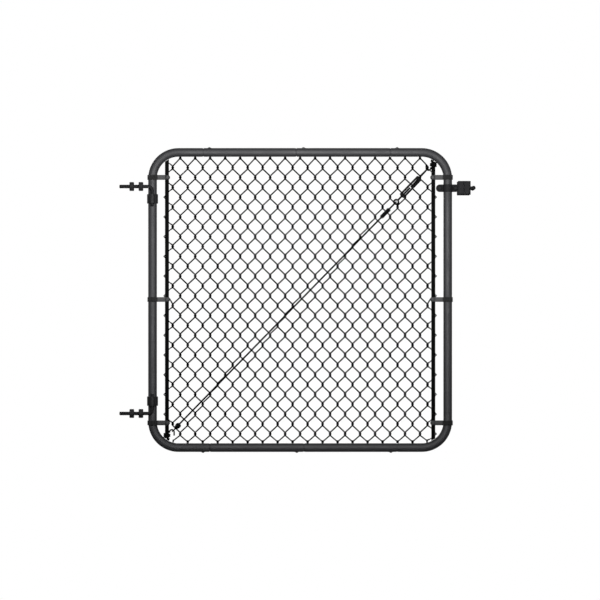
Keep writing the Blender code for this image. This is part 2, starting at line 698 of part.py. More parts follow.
def jaw(way):
    """A pressed plate with one upright bead, drawn in plan and raised, its corners trimmed."""
    start, end = JAW_START, JAW_START + JAW_LENGTH
    root, crest = BEAD_WIDTH / 2, BEAD_WIDTH / 4
    line = [(start, 0.0), (end, 0.0), (end, JAW_THICK), (BEAD_OUT + root, JAW_THICK),
            (BEAD_OUT + crest, JAW_THICK + BEAD_RISE), (BEAD_OUT - crest, JAW_THICK + BEAD_RISE),
            (BEAD_OUT - root, JAW_THICK), (start, JAW_THICK)]
    shape = bmesh.new()
    face = shape.faces.new([shape.verts.new((x, way * y, -JAW_HEIGHT / 2)) for x, y in line])
    raise_faces(shape, [face], UP * JAW_HEIGHT)
    corners = [edge for edge in shape.edges if abs(edge.verts[0].co.z - edge.verts[1].co.z) < GAP
               and all(abs(v.co.x - start) < GAP or abs(v.co.x - end) < GAP for v in edge.verts)
               and abs(edge.verts[0].co.y - edge.verts[1].co.y) > GAP]
    bmesh.ops.bevel(shape, geom=corners, offset=JAW_CORNER, segments=1, affect="EDGES")
    return shape


# Truss: corner anchors, cable with its socket and sleeve, and the turnbuckle

def anchor():
    """A rod hooked for the truss, then wound up round the bar's top end and over it."""
    reach = ANCHOR_ROD_R + GAP
    face = BAR_THICK / 2 + reach
    near = BAR_FROM_CENTRE - BAR_WIDTH / 2 - reach
    over = BAR_FROM_CENTRE - ANCHOR_OVER_IN
    pitch = 2 * ANCHOR_ROD_R + GAP
    first = BAR_HALF - ANCHOR_START_DROP
    hook = arc((ANCHOR_HOOK_X, ANCHOR_HOOK_Z), ANCHOR_HOOK_R, -pi, 0, 6)
    points = [Vector((ANCHOR_HOOK_X - ANCHOR_HOOK_R, -TRUSS_FORWARD, ANCHOR_TIP_Z))]
    points += [Vector((x, -TRUSS_FORWARD, z)) for x, z in hook]
    points.append(Vector((near, -TRUSS_FORWARD, first - pitch)))
    for i in range(3 * ANCHOR_CORNERS):
        corner, part = divmod(i, 3)
        turn = 3 * pi / 2 + (corner + part / 2) * pi / 2
        middle = 3 * pi / 2 + (corner + 0.5) * pi / 2
        side = BAR_WIDTH / 2 if cos(middle) > 0 else -BAR_WIDTH / 2
        depth = BAR_THICK / 2 if sin(middle) > 0 else -BAR_THICK / 2
        points.append(Vector((BAR_FROM_CENTRE + side + reach * cos(turn), depth + reach * sin(turn),
                              first + pitch * (corner + part / 2) / 4)))
    short = reach * (1 - cos(pi / 4))
    points += [Vector((over, depth, BAR_HALF + rise)) for depth, rise in (
        (face, 0.0), (face - short, reach - short), (BAR_THICK / 2, reach), (-BAR_THICK / 2, reach),
        (short - face, reach - short), (-face, 0.0), (-face, -ANCHOR_TAIL_DROP),
    )]
    return points


def eye_path(centre, radius, start, end, away=1, upright=False):
    """Points of an open eye on the truss line, in the picture plane or on edge."""
    path = []
    for x, other in arc((0, 0), radius, start, end, EYE_STEPS):
        path.append(Vector((centre + away * x, 0.0 if upright else -other, other if upright else 0.0)))
    return path


def on_line(*distances):
    return [Vector((distance, 0, 0)) for distance in distances]


def truss_piece(name, shape, leaf, **placing):
    return piece(name, shape, leaf, TRUSS_SPOT, TRUSS_TURN, **placing)


def truss(leaf):
    for label, turn in (("top", NO_TURN), ("bottom", HALF_TURN)):
        name = f"corner_anchor_{label}"
        piece(name, rod(name, anchor(), ANCHOR_ROD_R, ANCHOR_SIDES), leaf, turn=turn, paint=WIRE_PAINT)
    turnbuckle(leaf)

    # Socket: an eye round the lower anchor that widens into a cup for the cable
    low = -TRUSS_HALF
    cup = [(SOCKET_START, SOCKET_NECK_R), (SOCKET_WIDE - ROD_SPACE, SOCKET_SHOULDER_R),
           (SOCKET_WIDE, SOCKET_R), (SOCKET_WIDE + ROD_SPACE, SOCKET_R),
           (SOCKET_END - ROD_SPACE, SOCKET_SHOULDER_R), (SOCKET_END, SOCKET_MOUTH_R)]
    eye = eye_path(low, HOOK_EYE_R - GAP, -radians(322), -radians(28))
    points = eye + on_line(*[low + distance for distance, _ in cup])
    radii = [HOOK_EYE_ROD_R] * len(eye) + [radius for _, radius in cup]
    shape = closed_mesh(rod("socket", points, SOCKET_R, ROD_SIDES, radii))
    socket = truss_piece("truss_socket", shape, leaf, paint=WIRE_PAINT)
    depth = SOCKET_END - SOCKET_WIDE
    mouth = round_bar(around(STRAND, ROD_SIDES), 2 * depth, RIGHT * (low + SOCKET_END), RIGHT)
    cut(socket, mouth, "socket_bore")

    # Cable from the socket, through the sleeve, round the eye and back into the sleeve
    loop_r = EYE_ROD_R + STRAND + GAP
    spots = [(low + SOCKET_WIDE + GAP * 3, 0.0), (SLEEVE_START - SLEEVE_LENGTH / 2, 0.0),
             (SLEEVE_START - GAP, -STRAND), (SLEEVE_END + GAP, -STRAND)]
    spots += [(EYE_AT - EYE_R + x, y) for x, y in arc((0, 0), loop_r, -pi / 2, pi / 2, 8)]
    spots += [(SLEEVE_END + GAP, STRAND), (SLEEVE_START + SLEEVE_CRIMP, STRAND)]
    cable = rod("truss_cable", [Vector((x, y, 0)) for x, y in spots], CABLE_R, CABLE_SIDES)
    truss_piece("truss_cable", cable, leaf, paint=WIRE_PAINT)

    # Crimp sleeve over both strands
    rings = [oval(SLEEVE_START, SLEEVE_END_SHARE), oval(SLEEVE_START + SLEEVE_CRIMP, 1),
             oval(SLEEVE_END - SLEEVE_CRIMP, 1), oval(SLEEVE_END, SLEEVE_END_SHARE),
             twin_bore(SLEEVE_END), twin_bore(SLEEVE_START)]
    truss_piece("truss_sleeve", loft(rings, loop=True), leaf, paint=WIRE_PAINT)


def oval(distance, share):
    """A squarish oval across the truss line."""
    ring = []
    for i in range(SLEEVE_SIDES):
        turn = 2 * pi * i / SLEEVE_SIDES
        x, y = cos(turn), sin(turn)
        deep = abs(x) ** SLEEVE_ROUNDING * (1 if x > 0 else -1) * SLEEVE_DEPTH / 2 * share
        high = abs(y) ** SLEEVE_ROUNDING * (1 if y > 0 else -1) * SLEEVE_WIDTH / 2 * share
        ring.append(Vector((distance, deep, high)))
    return ring


def twin_bore(distance):
    """The outline of two strands side by side with their clearance."""
    ring = []
    radius = around(STRAND, CABLE_SIDES)
    for i in range(SLEEVE_SIDES):
        turn = 2 * pi * i / SLEEVE_SIDES
        shift = STRAND * (1 if cos(turn) > 0.01 else -1 if cos(turn) < -0.01 else 0)
        ring.append(Vector((distance, shift + radius * cos(turn), radius * sin(turn))))
    return ring


def turnbuckle(leaf):
    # Eye rod with a round eye that the cable loops through
    eye = eye_path(EYE_AT, EYE_R, -radians(332), -radians(22), upright=True)
    points = eye + on_line(EYE_AT + EYE_R + ROD_SPACE, BODY_MIDDLE - ROD_SPACE)
    rod_data = rod("turnbuckle_eye_rod", points, EYE_ROD_R, EYE_SIDES)
    truss_piece("turnbuckle_eye_rod", rod_data, leaf, paint=WIRE_PAINT)

    # Hook rod: thick inside the body, slim up to the anchor
    eye = eye_path(TRUSS_HALF, HOOK_EYE_R, -radians(322), -radians(30), away=-1)
    slim = BODY_END + ROD_SPACE
    points = eye + on_line(TRUSS_HALF - HOOK_EYE_R - ROD_SPACE, slim + ROD_SPACE, slim, BODY_MIDDLE)
    radii = [HOOK_EYE_ROD_R] * len(eye) + [ROD_SLIM_R] * 2 + [ROD_THICK_R] * 2
    rod_data = rod("turnbuckle_hook_rod", points, ROD_THICK_R, ROD_SIDES, radii)
    truss_piece("turnbuckle_hook_rod", rod_data, leaf, paint=WIRE_PAINT)

    # Body: two side bars between two bosses
    half, slant = BODY_WIDTH / 2, BODY_SLANT
    outline = [(BODY_START, BODY_TAPER - half), (BODY_START + slant, -half), (BODY_END - slant, -half),
               (BODY_END, BODY_TAPER - half), (BODY_END, half - BODY_TAPER), (BODY_END - slant, half),
               (BODY_START + slant, half), (BODY_START, half - BODY_TAPER)]
    slot, window_start, window_end = half - BODY_SIDE, BODY_START + BODY_BOSS, BODY_END - BODY_BOSS
    window = [(window_start, -slot), (window_end, -slot), (window_end, slot), (window_start, slot)]
    body = truss_piece("turnbuckle_body", plate(outline, BODY_THICK), leaf, paint=WIRE_PAINT)
    cut(body, plate(window, 2 * BODY_THICK), "body_window")
    for name, centre, radius in (
        ("body_bore_lower", BODY_START + BODY_BOSS / 2, EYE_ROD_R),
        ("body_bore_upper", BODY_END - BODY_BOSS / 2, ROD_THICK_R),
    ):
        cut(body, round_bar(around(radius + GAP, 12), 2 * BODY_BOSS, RIGHT * centre, RIGHT), name)


def main():
    clear_scene()
    leaf = pivot_empty("leaf_axis", LEAF + PINTLE)
    pivot = pivot_empty("latch_axis", LEAF + PIVOT, leaf)
    frame_tubes(leaf)
    fabric(leaf)
    bars_and_bands(leaf)
    hinge_bolts()
    hinge_straps(leaf)
    latch_clamp(leaf)
    latch_fork(pivot)
    truss(leaf)


main()
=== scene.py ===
import math

import bmesh
import bpy
from mathutils import Matrix, Vector


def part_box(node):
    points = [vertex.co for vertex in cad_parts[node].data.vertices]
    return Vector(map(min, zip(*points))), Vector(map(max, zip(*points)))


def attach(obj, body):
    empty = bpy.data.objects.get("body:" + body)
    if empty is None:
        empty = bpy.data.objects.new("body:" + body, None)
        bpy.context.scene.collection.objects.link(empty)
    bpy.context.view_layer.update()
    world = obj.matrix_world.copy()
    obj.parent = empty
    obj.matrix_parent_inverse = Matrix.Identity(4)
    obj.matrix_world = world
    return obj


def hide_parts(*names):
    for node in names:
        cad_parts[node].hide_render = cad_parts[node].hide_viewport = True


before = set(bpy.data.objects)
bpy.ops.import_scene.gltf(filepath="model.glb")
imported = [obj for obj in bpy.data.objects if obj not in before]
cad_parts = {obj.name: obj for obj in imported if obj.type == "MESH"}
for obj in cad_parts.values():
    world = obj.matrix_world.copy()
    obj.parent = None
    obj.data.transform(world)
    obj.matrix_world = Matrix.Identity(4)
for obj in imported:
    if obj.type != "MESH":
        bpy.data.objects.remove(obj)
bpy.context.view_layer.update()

# Every size below is in metres from the middle of the square leaf, x right, y back, z up
leafCentre = (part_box("frame_tube_left")[0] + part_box("frame_tube_right")[1]) / 2
right, back, up = Vector((1, 0, 0)), Vector((0, 1, 0)), Vector((0, 0, 1))


def deselect():
    bpy.ops.object.select_all(action="DESELECT")


def selectOnly(piece):
    deselect()
    piece.select_set(True)
    bpy.context.view_layer.objects.active = piece


def startEdit(piece, everything=False):
    selectOnly(piece)
    bpy.ops.object.mode_set(mode="EDIT")
    bpy.ops.mesh.select_mode(type="VERT")
    bpy.ops.mesh.select_all(action="SELECT" if everything else "DESELECT")


def pickVerts(piece, test):
    mesh = bmesh.from_edit_mesh(piece.data)
    for vert in mesh.verts:
        vert.select_set(bool(test(vert.co)))
    mesh.select_flush(True)
    bmesh.update_edit_mesh(piece.data)


def endEdit():
    bpy.ops.object.mode_set(mode="OBJECT")


def applyPlace(piece):
    selectOnly(piece)
    bpy.ops.object.transform_apply(location=True, rotation=True, scale=True)


def applyModifiers(piece):
    selectOnly(piece)
    for modifier in list(piece.modifiers):
        bpy.ops.object.modifier_apply(modifier=modifier.name)


# Ends the edit with every face turned outwards
def closeSkin():
    bpy.ops.mesh.select_all(action="SELECT")
    bpy.ops.mesh.remove_doubles(threshold=0.00001)
    bpy.ops.mesh.normals_make_consistent(inside=False)
    endEdit()


def cleanSkin(piece):
    startEdit(piece)
    closeSkin()


def roundEdges(piece, width, segments=2, angle=32):
    bevel = piece.modifiers.new("roundEdges", "BEVEL")
    bevel.width = width
    bevel.segments = segments
    bevel.limit_method = "ANGLE"
    bevel.angle_limit = math.radians(angle)
    applyModifiers(piece)


def joined(pieces):
    deselect()
    for piece in pieces:
        piece.select_set(True)
    bpy.context.view_layer.objects.active = pieces[0]
    bpy.ops.object.join()
    return pieces[0]


def copyOf(piece, matrix):
    twin = piece.copy()
    twin.data = piece.data.copy()
    twin.data.transform(matrix)
    bpy.context.collection.objects.link(twin)
    return twin


halfTurn = Matrix.Rotation(math.pi, 4, "Y")


# Puts a finished mesh in its place in the frame, with its coat and the body that it rides
def setPiece(piece, name, coat, replaced=(), body="gate_leaf", smooth=35):
    applyPlace(piece)
    piece.data.transform(Matrix.Translation(leafCentre))
    bpy.ops.object.shade_smooth_by_angle(angle=math.radians(smooth))
    piece.name = name
    piece.data.name = name
    piece.data.materials.clear()
    piece.data.materials.append(coats[coat])
    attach(piece, body)
    if replaced:
        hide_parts(*replaced)


# A piece that takes its name from the node that it replaces
def setNode(piece, node, coat, body="gate_leaf", smooth=35):
    first, *others = node.split("_")
    setPiece(piece, first + "".join(word.title() for word in others), coat, [node], body, smooth)


# A piece and its twin, half a turn away round the middle of the leaf
def setTwins(piece, node, twinNode, coat, smooth=35):
    twin = copyOf(piece, halfTurn)
    setNode(piece, node, coat, smooth=smooth)
    setNode(twin, twinNode, coat, smooth=smooth)


# A mesh from a curve through each path of points, or of (point, thickness share)
def meshAlong(paths, closed=False, **settings):
    deselect()
    bpy.ops.curve.primitive_nurbs_path_add()
    curve = bpy.context.object.data
    curve.splines.clear()
    for key, value in settings.items():
        setattr(curve, key, value)
    for path in paths:
        spline = curve.splines.new("POLY")
        spline.points.add(len(path) - 1)
        spline.use_cyclic_u = closed
        for point, place in zip(spline.points, path):
            place, share = place if isinstance(place, tuple) else (place, 1.0)
            point.co = (*place, 1.0)
            point.radius = share
    bpy.ops.object.convert(target="MESH")
    return bpy.context.object


# A wire or rod bent along one or more paths
def wireAlong(paths, radius, resolution=3):
    piece = meshAlong(paths, bevel_depth=radius, bevel_resolution=resolution, use_fill_caps=True)
    cleanSkin(piece)
    return piece


# Extrudes what is picked, then widens it about a centre
def growRing(way, share=1.0, centre=None):
    bpy.ops.mesh.extrude_region_move(TRANSFORM_OT_translate={"value": tuple(way)})
    if share != 1.0:
        bpy.ops.transform.resize(value=(share, share, share), center_override=tuple(centre))


# A round or many-sided piece grown station by station: (distance, radius) along an axis
def turned(stations, centre, axis, sides=32, side=None, across=1.0):
    deselect()
    at, radius = stations[0]
    bpy.ops.mesh.primitive_circle_add(vertices=sides, radius=radius, fill_type="NGON", location=(0, 0, at))
    piece = bpy.context.object
    startEdit(piece, everything=True)
    for nextAt, nextRadius in stations[1:]:
        growRing((0, 0, nextAt - at), nextRadius / radius, (0, 0, nextAt))
        at, radius = nextAt, nextRadius
    closeSkin()
    applyPlace(piece)
    side = side or (up if abs(axis.z) < 0.5 else right)
    columns = Matrix((side * across, axis.cross(side), axis)).transposed().to_4x4()
    piece.data.transform(Matrix.Translation(centre) @ columns)
    return piece


# A flat plate cut from closed outlines in x and z: its edge, then its holes
def plateFrom(outlines, thick, edge=0.0, segments=2, middleY=0.0):
    paths = [[Vector((x, z, 0)) for x, z in outline] for outline in outlines]
    piece = meshAlong(paths, True, dimensions="2D", fill_mode="BOTH", extrude=thick / 2)
    startEdit(piece, everything=True)
    bpy.ops.mesh.remove_doubles(threshold=0.00001)
    bpy.ops.mesh.dissolve_limited(angle_limit=0.002)
    closeSkin()
    if edge:
        roundEdges(piece, edge, segments, 50)
    piece.data.transform(Matrix.Translation((0, middleY, 0)) @ Matrix.Rotation(math.pi / 2, 4, "X"))
    return piece


# A strap on edge: its line in plan as (x, y), with ends rounded over its height
def strapFrom(plan, height, thick, edge):
    line = [Vector((x, y, 0)) for x, y in plan]
    ends = (line[0].xy, line[-1].xy)
    piece = meshAlong([line], dimensions="2D", fill_mode="NONE", extrude=height / 2)
    startEdit(piece)
    pickVerts(piece, lambda co: any((co.xy - end).length < 0.00002 for end in ends))
    bpy.ops.mesh.bevel(offset=height * 0.49, segments=7, affect="VERTICES")
    endEdit()
    wall = piece.modifiers.new("wall", "SOLIDIFY")
    wall.thickness = thick
    wall.offset = 0.0
    wall.use_even_offset = True
    applyModifiers(piece)
    cleanSkin(piece)
    roundEdges(piece, edge, 2, 50)
    return piece


def arcPoints(centre, radius, start, end, steps):
    spots = (start + (end - start) * i / steps for i in range(steps + 1))
    return [(centre[0] + radius * math.cos(a), centre[1] + radius * math.sin(a)) for a in spots]


# A path rounded through its points, with the same number of steps on each span
def roundedPath(points, steps=6, tightness=0.5):
    path = []
    ends = [points[0] * 2 - points[1], *points, points[-1] * 2 - points[-2]]
    for a, b, c, d in zip(ends, ends[1:], ends[2:], ends[3:]):
        leave, arrive = (c - a) * tightness, (d - b) * tightness
        limit = (c - b).length
        leave = leave.normalized() * min(leave.length, limit)
        arrive = arrive.normalized() * min(arrive.length, limit)
        for i in range(steps):
            t = i / steps
            path.append(b * (2 * t**3 - 3 * t**2 + 1) + leave * (t**3 - 2 * t**2 + t)
                        + c * (3 * t**2 - 2 * t**3) + arrive * (t**3 - t**2))
    return path + [points[-1]]


def evenPath(points, step):
    path, carry = [points[0]], 0.0
    for a, b in zip(points, points[1:]):
        length = (b - a).length
        at = step - carry
        while at <= length:
            path.append(a.lerp(b, at / length))
            at += step
        carry = length - (at - step)
    return path


# Shader helpers and the groups that the coats share
def newGroup(name, inputs, *outputs):
    tree = bpy.data.node_groups.new(name, "ShaderNodeTree")
    for label, value in inputs.items():
        socket = tree.interface.new_socket(label, in_out="INPUT", socket_type="NodeSocketFloat")
        socket.default_value = value
    for label in outputs:
        tree.interface.new_socket(label, in_out="OUTPUT", socket_type="NodeSocketFloat")
    return tree, tree.nodes.new("NodeGroupInput").outputs, tree.nodes.new("NodeGroupOutput")


# Sets each input to its value, or links it where that is another node's output
def feed(tree, node, values):
    for key, value in values.items():
        if isinstance(value, bpy.types.NodeSocket):
            tree.links.new(value, node.inputs[key])
        else:
            node.inputs[key].default_value = value


def addNode(tree, kind, values=None, settings=None):
    node = tree.nodes.new("ShaderNode" + kind)
    for key, value in (settings or {}).items():
        setattr(node, key, value)
    feed(tree, node, values or {})
    return node


def mathNode(tree, operation, first, second, clamp=False):
    settings = {"operation": operation, "use_clamp": clamp}
    return addNode(tree, "Math", {0: first, 1: second}, settings).outputs[0]


def mixColours(tree, first, second, share):
    return addNode(tree, "Mix", {0: share, 6: first, 7: (*second, 1)}, {"data_type": "RGBA"}).outputs[2]


def fromLeafCentre(tree):
    place = addNode(tree, "TexCoord").outputs["Object"]
    return addNode(tree, "Mapping", {"Vector": place, "Location": tuple(-leafCentre)}).outputs["Vector"]


# Fine skin of a sprayed and baked coat: small round swells with pin specks between them
def orangePeelGroup():
    tree, entry, leave = newGroup("orangePeel", {"Scale": 900.0, "Specks": 0.3}, "Height", "Sheen Mask")
    place, scale = addNode(tree, "TexCoord").outputs["Object"], entry["Scale"]
    swell = addNode(tree, "TexNoise", {"Vector": place, "Scale": scale, "Detail": 2.0, "Roughness": 0.45})
    specks = addNode(tree, "TexVoronoi", {"Vector": place, "Scale": mathNode(tree, "MULTIPLY", scale, 1.7)})
    cloud = addNode(tree, "TexNoise", {"Vector": place, "Scale": 14.0, "Detail": 3.0})
    pits = mathNode(tree, "LESS_THAN", specks.outputs["Distance"], 0.16)
    depth = mathNode(tree, "MULTIPLY", pits, entry["Specks"])
    height = mathNode(tree, "SUBTRACT", swell.outputs["Fac"], depth)
    feed(tree, leave, {"Height": height, "Sheen Mask": cloud.outputs["Fac"]})
    return tree


# Where edges and corners rub: bright only on sharp convex places, broken up by noise
def edgeRubGroup():
    tree, entry, leave = newGroup("edgeRub", {"Reach": 0.56, "Grain": 160.0}, "Mask")
    sharp = addNode(tree, "NewGeometry").outputs["Pointiness"]
    place, scale = addNode(tree, "TexCoord").outputs["Object"], entry["Grain"]
    grain = addNode(tree, "TexNoise", {"Vector": place, "Scale": scale, "Detail": 4.0, "Roughness": 0.65})
    edge = mathNode(tree, "SUBTRACT", sharp, entry["Reach"])
    edge = mathNode(tree, "MULTIPLY", edge, 14.0, clamp=True)
    broken = mathNode(tree, "SUBTRACT", grain.outputs["Fac"], 0.42)
    broken = mathNode(tree, "MULTIPLY", broken, 5.0, clamp=True)
    feed(tree, leave, {"Mask": mathNode(tree, "MULTIPLY", edge, broken)})
    return tree


# Fine pale dust that settles on what faces up
def settledDustGroup():
    tree, entry, leave = newGroup("settledDust", {"Amount": 0.2}, "Mask")
    normal = addNode(tree, "NewGeometry").outputs["Normal"]
    place = addNode(tree, "TexCoord").outputs["Object"]
    patch = addNode(tree, "TexNoise", {"Vector": place, "Scale": 38.0, "Detail": 5.0, "Roughness": 0.6})
    facing = addNode(tree, "SeparateXYZ", {"Vector": normal}).outputs["Z"]
    facing = mathNode(tree, "SUBTRACT", facing, 0.35)
    facing = mathNode(tree, "MULTIPLY", facing, 1.4, clamp=True)
    cover = mathNode(tree, "MULTIPLY", facing, patch.outputs["Fac"])
    feed(tree, leave, {"Mask": mathNode(tree, "MULTIPLY", cover, entry["Amount"], clamp=True)})
    return tree


# How far a band's metal is from the leaf's middle line: 1 where it wraps the tube, 0 on its tabs; the coats
# paint shade where it is 1
def bandWrapGroup():
    tree, entry, leave = newGroup("bandWrap", {"Start": 0.57, "Blend": 0.004}, "Mask")
    away = addNode(tree, "SeparateXYZ", {"Vector": fromLeafCentre(tree)}).outputs["X"]
    past = mathNode(tree, "SUBTRACT", mathNode(tree, "ABSOLUTE", away, 0.0), entry["Start"])
    feed(tree, leave, {"Mask": mathNode(tree, "DIVIDE", past, entry["Blend"], clamp=True)})
    return tree


peelGroup, rubGroup = orangePeelGroup(), edgeRubGroup()
dustGroup, wrapGroup = settledDustGroup(), bandWrapGroup()


# A black coat over steel, dusty on top and rubbed at its sharp edges
def steelCoat(name, colour, rubbed, roughness, gloss, peelScale, peelDepth, rub, dust, paintedWrapShade=0.0):
    material = bpy.data.materials.new(name)
    material.use_nodes = True
    tree = material.node_tree
    peel = addNode(tree, "Group", {"Scale": peelScale}, {"node_tree": peelGroup}).outputs
    edge = addNode(tree, "Group", {"Reach": rub}, {"node_tree": rubGroup}).outputs["Mask"]
    film = addNode(tree, "Group", {"Amount": dust}, {"node_tree": dustGroup}).outputs["Mask"]
    bump = addNode(tree, "Bump", {"Strength": 0.5, "Distance": peelDepth, "Height": peel["Height"]})
    paint = mixColours(tree, (*colour, 1), (rubbed,) * 3, edge)
    paint = mixColours(tree, paint, (0.30, 0.29, 0.28), film)
    cloud = mathNode(tree, "SUBTRACT", peel["Sheen Mask"], 0.5)
    level = mathNode(tree, "ADD", mathNode(tree, "MULTIPLY", cloud, 0.22), roughness)
    level = mathNode(tree, "ADD", level, film, clamp=True)
    if paintedWrapShade:    # the wrap is rougher than the flat tabs, and painted shade darkens its colour
        wrap = addNode(tree, "Group", settings={"node_tree": wrapGroup}).outputs["Mask"]
        level = mathNode(tree, "ADD", level, mathNode(tree, "MULTIPLY", wrap, 0.3), clamp=True)
        paint = mixColours(tree, paint, (paintedWrapShade,) * 3, wrap)
    feed(tree, tree.nodes["Principled BSDF"], {"Base Color": paint, "Roughness": level,
                                               "Specular IOR Level": gloss, "Normal": bump.outputs["Normal"]})
    return material


# Colour, rubbed grey, roughness, gloss, peel scale and depth, rub's reach, dust and the painted shade on the
# wrap
coatSettings = {
    "frame_coat": ((0.012, 0.012, 0.0145), 0.05, 0.70, 1.0, 620, 0.00016, 0.57, 0.04),
    "wire_coat": ((0.002, 0.002, 0.002), 0.02, 0.60, 0.02, 1500, 0.00006, 0.66, 0.03),
    "bar_coat": ((0.002, 0.002, 0.002), 0.02, 0.60, 0.02, 800, 0.00012, 0.60, 0.03),
    # band_coat's last value is the colour of the painted shade on the wrap round the tube
    "band_coat": ((0.012, 0.012, 0.013), 0.07, 0.70, 0.95, 750, 0.00012, 0.58, 0.04, 0.002),
    "hinge_coat": ((0.010, 0.010, 0.011), 0.06, 0.72, 0.45, 700, 0.00014, 0.58, 0.08),
    "latch_coat": ((0.006, 0.006, 0.007), 0.06, 0.72, 0.30, 700, 0.00014, 0.74, 0.08),
    "truss_coat": ((0.002, 0.002, 0.002), 0.03, 0.55, 0.04, 900, 0.00010, 0.60, 0.03),
}
coats = {name: steelCoat(name, *values) for name, values in coatSettings.items()}
print("coats made")

# Frame of round tube: each tube has a drawn-in end that slides into the next one's socket
tube = {"half": 0.59215, "radius": 0.01745, "wall": 0.0016, "bend": 0.1040, "bendSteps": 20, "sides": 56,
        "seams": (-0.3880, -0.0145, 0.3630), "gap": 0.0003, "seamGap": 0.0018, "slide": 0.0450,
        "taper": 0.0030, "tip": 0.0030, "tipSlim": 0.0008, "relief": 0.0012, "lip": 0.0004, "socket": 0.0500}


def startTube(seam):
    deselect()
    slim = tube["radius"] - tube["wall"] - tube["gap"]
    end = Vector((seam + tube["slide"], 0, tube["half"]))
    bpy.ops.mesh.primitive_circle_add(vertices=tube["sides"], radius=slim - tube["tipSlim"], location=end,
                                      rotation=(0, math.pi / 2, 0))
    piece = bpy.context.object
    applyPlace(piece)
    startEdit(piece, everything=True)
    at = end - right * tube["tip"]
    growRing(at - end, slim / (slim - tube["tipSlim"]), at)
    shoulder = Vector((seam - tube["seamGap"] / 2, 0, tube["half"]))
    growRing(shoulder - at)
    full = shoulder - right * tube["taper"]
    growRing(full - shoulder, tube["radius"] / slim, full)
    growRing(right * -tube["relief"])    # keeps the taper's shading off the long faces
    return piece, full - right * tube["relief"]


def endTube(piece, at, way):
    lip, inner = tube["radius"] - tube["lip"], tube["radius"] - tube["wall"]
    mouth = at + way * tube["lip"]
    growRing(mouth - at, lip / tube["radius"], mouth)
    growRing(Vector(), inner / lip, mouth)
    growRing(way * -tube["socket"])
    bpy.ops.mesh.edge_face_add()
    closeSkin()
    return piece


def makeSideTube():
    piece, at = startTube(tube["seams"][0])
    bendX, half = tube["half"] - tube["bend"], tube["half"]
    growRing(Vector((-bendX, 0, half)) - at)
    for middleZ in (bendX, -bendX):
        bpy.ops.mesh.spin(steps=tube["bendSteps"], angle=-math.pi / 2, center=(-bendX, 0, middleZ),
                          axis=(0, -1, 0))
        if middleZ > 0:
            growRing(Vector((0, 0, -2 * bendX)))
    mouth = Vector((-tube["seams"][2] - tube["seamGap"] / 2 - tube["lip"], 0, -half))
    growRing(mouth - Vector((-bendX, 0, -half)))
    return endTube(piece, mouth, right)


def makeRail(seam, mouth):
    piece, at = startTube(seam)
    end = Vector((mouth + tube["seamGap"] / 2 + tube["lip"], 0, tube["half"]))
    growRing(end - at)
    return endTube(piece, end, -right)


setTwins(makeSideTube(), "frame_tube_left", "frame_tube_right", "frame_coat")
seams = tube["seams"]
setTwins(makeRail(seams[1], seams[0]), "top_rail_left", "bottom_rail_right", "frame_coat")
setTwins(makeRail(seams[2], seams[1]), "top_rail_right", "bottom_rail_left", "frame_coat")
print("frame tubes made")

# Self-drilling screws that lock the joints, each with a pressed washer under a hex head
frameScrew = {"places": (-0.3640, 0.0135, 0.3895), "washer": 0.0084, "hex": 0.0044, "proud": 0.0035,
              "seat": -0.0013}


def makeFrameScrew():
    wide, hexR, proud = frameScrew["washer"], frameScrew["hex"], frameScrew["proud"]
    washer = turned([(frameScrew["seat"], wide), (0.0003, wide), (0.0007, wide * 0.93), (0.0007, hexR * 0.9)],
                    Vector(), up, 28)
    head = turned([(0.0004, hexR), (proud - 0.0005, hexR), (proud, hexR * 0.86), (proud, hexR * 0.6),
                   (proud - 0.0004, hexR * 0.5)], Vector(), up, 6)
    roundEdges(head, 0.0002, 2, 25)
    return joined([washer, head])


firstScrew = makeFrameScrew()
for index, x in enumerate(frameScrew["places"]):
    spun = Matrix.Translation((x, 0, tube["half"] + tube["radius"])) @ Matrix.Rotation(0.4 + index, 4, "Z")
    setPiece(copyOf(firstScrew, spun), f"frameScrewTop{index + 1}", "frame_coat")
    setPiece(copyOf(firstScrew, halfTurn @ spun), f"frameScrewBottom{index + 1}", "frame_coat")
bpy.data.objects.remove(firstScrew)
print("frame screws made")

# Woven wire: every wire is a flattened helix hooked into its neighbours
fabric = {"column": 0.03007, "columns": 17, "row": 0.07917, "wire": 0.0029, "edgeWire": 0.0021,
          "depth": 0.0037, "hook": 0.0028, "hookRun": 0.0024, "hookTall": 0.0054, "knuckle": 0.0036}
bar = {"centre": 0.5343, "width": 0.0159, "thick": 0.0048, "half": 0.5553, "slope": 0.0096}
band = {"rows": (0.4920, 0.0020, -0.4930), "height": 0.0190, "thick": 0.0028, "tabGap": 0.0138,
        "boltOut": 0.0600, "slack": 0.0007}


def openingHalf(x):
    past = abs(x) - (tube["half"] - tube["bend"])
    if past <= 0:
        return tube["half"] - tube["radius"]
    return tube["half"] - tube["bend"] + math.sqrt((tube["bend"] - tube["radius"]) ** 2 - past**2)


def hubHeights(column):
    limit = tube["half"] - tube["radius"] - fabric["knuckle"]
    lowest = fabric["knuckle"] - openingHalf(min(abs(column), fabric["columns"]) * fabric["column"])
    height = limit if column % 2 == 0 else limit - fabric["row"] / 2
    heights = []
    while height > -limit - fabric["row"] / 4:
        heights.append(max(height, lowest))
        height -= fabric["row"]
    return heights


# The turn of one wire at a hub, from top to bottom; it stands out to side
def hookTurn(x, z, side, front):
    spots = []
    for i in range(7):
        s = -1 + i / 3
        angle = s * math.pi / 2
        stand = fabric["hook"] - fabric["hookRun"] * (1 - math.cos(angle))
        spots.append(Vector((x + side * stand, front * fabric["depth"] * math.sin(angle),
                             z - fabric["hookTall"] * s)))
    return spots


# A cut end folded over beside its neighbour's: the knuckle at top and bottom
def knuckleEnd(x, z, side, y, rising):
    spots = ((0.0027, -1, -0.0085), (0.0026, -1, -0.0030), (0.0021, -0.7, 0.0002), (0.0018, 0, 0.0012),
             (0.0013, 0.7, 0.0002), (0.0010, 1, -0.0030))
    return [Vector((x + side * dx, y * share, z + rising * dz)) for dx, share, dz in spots]


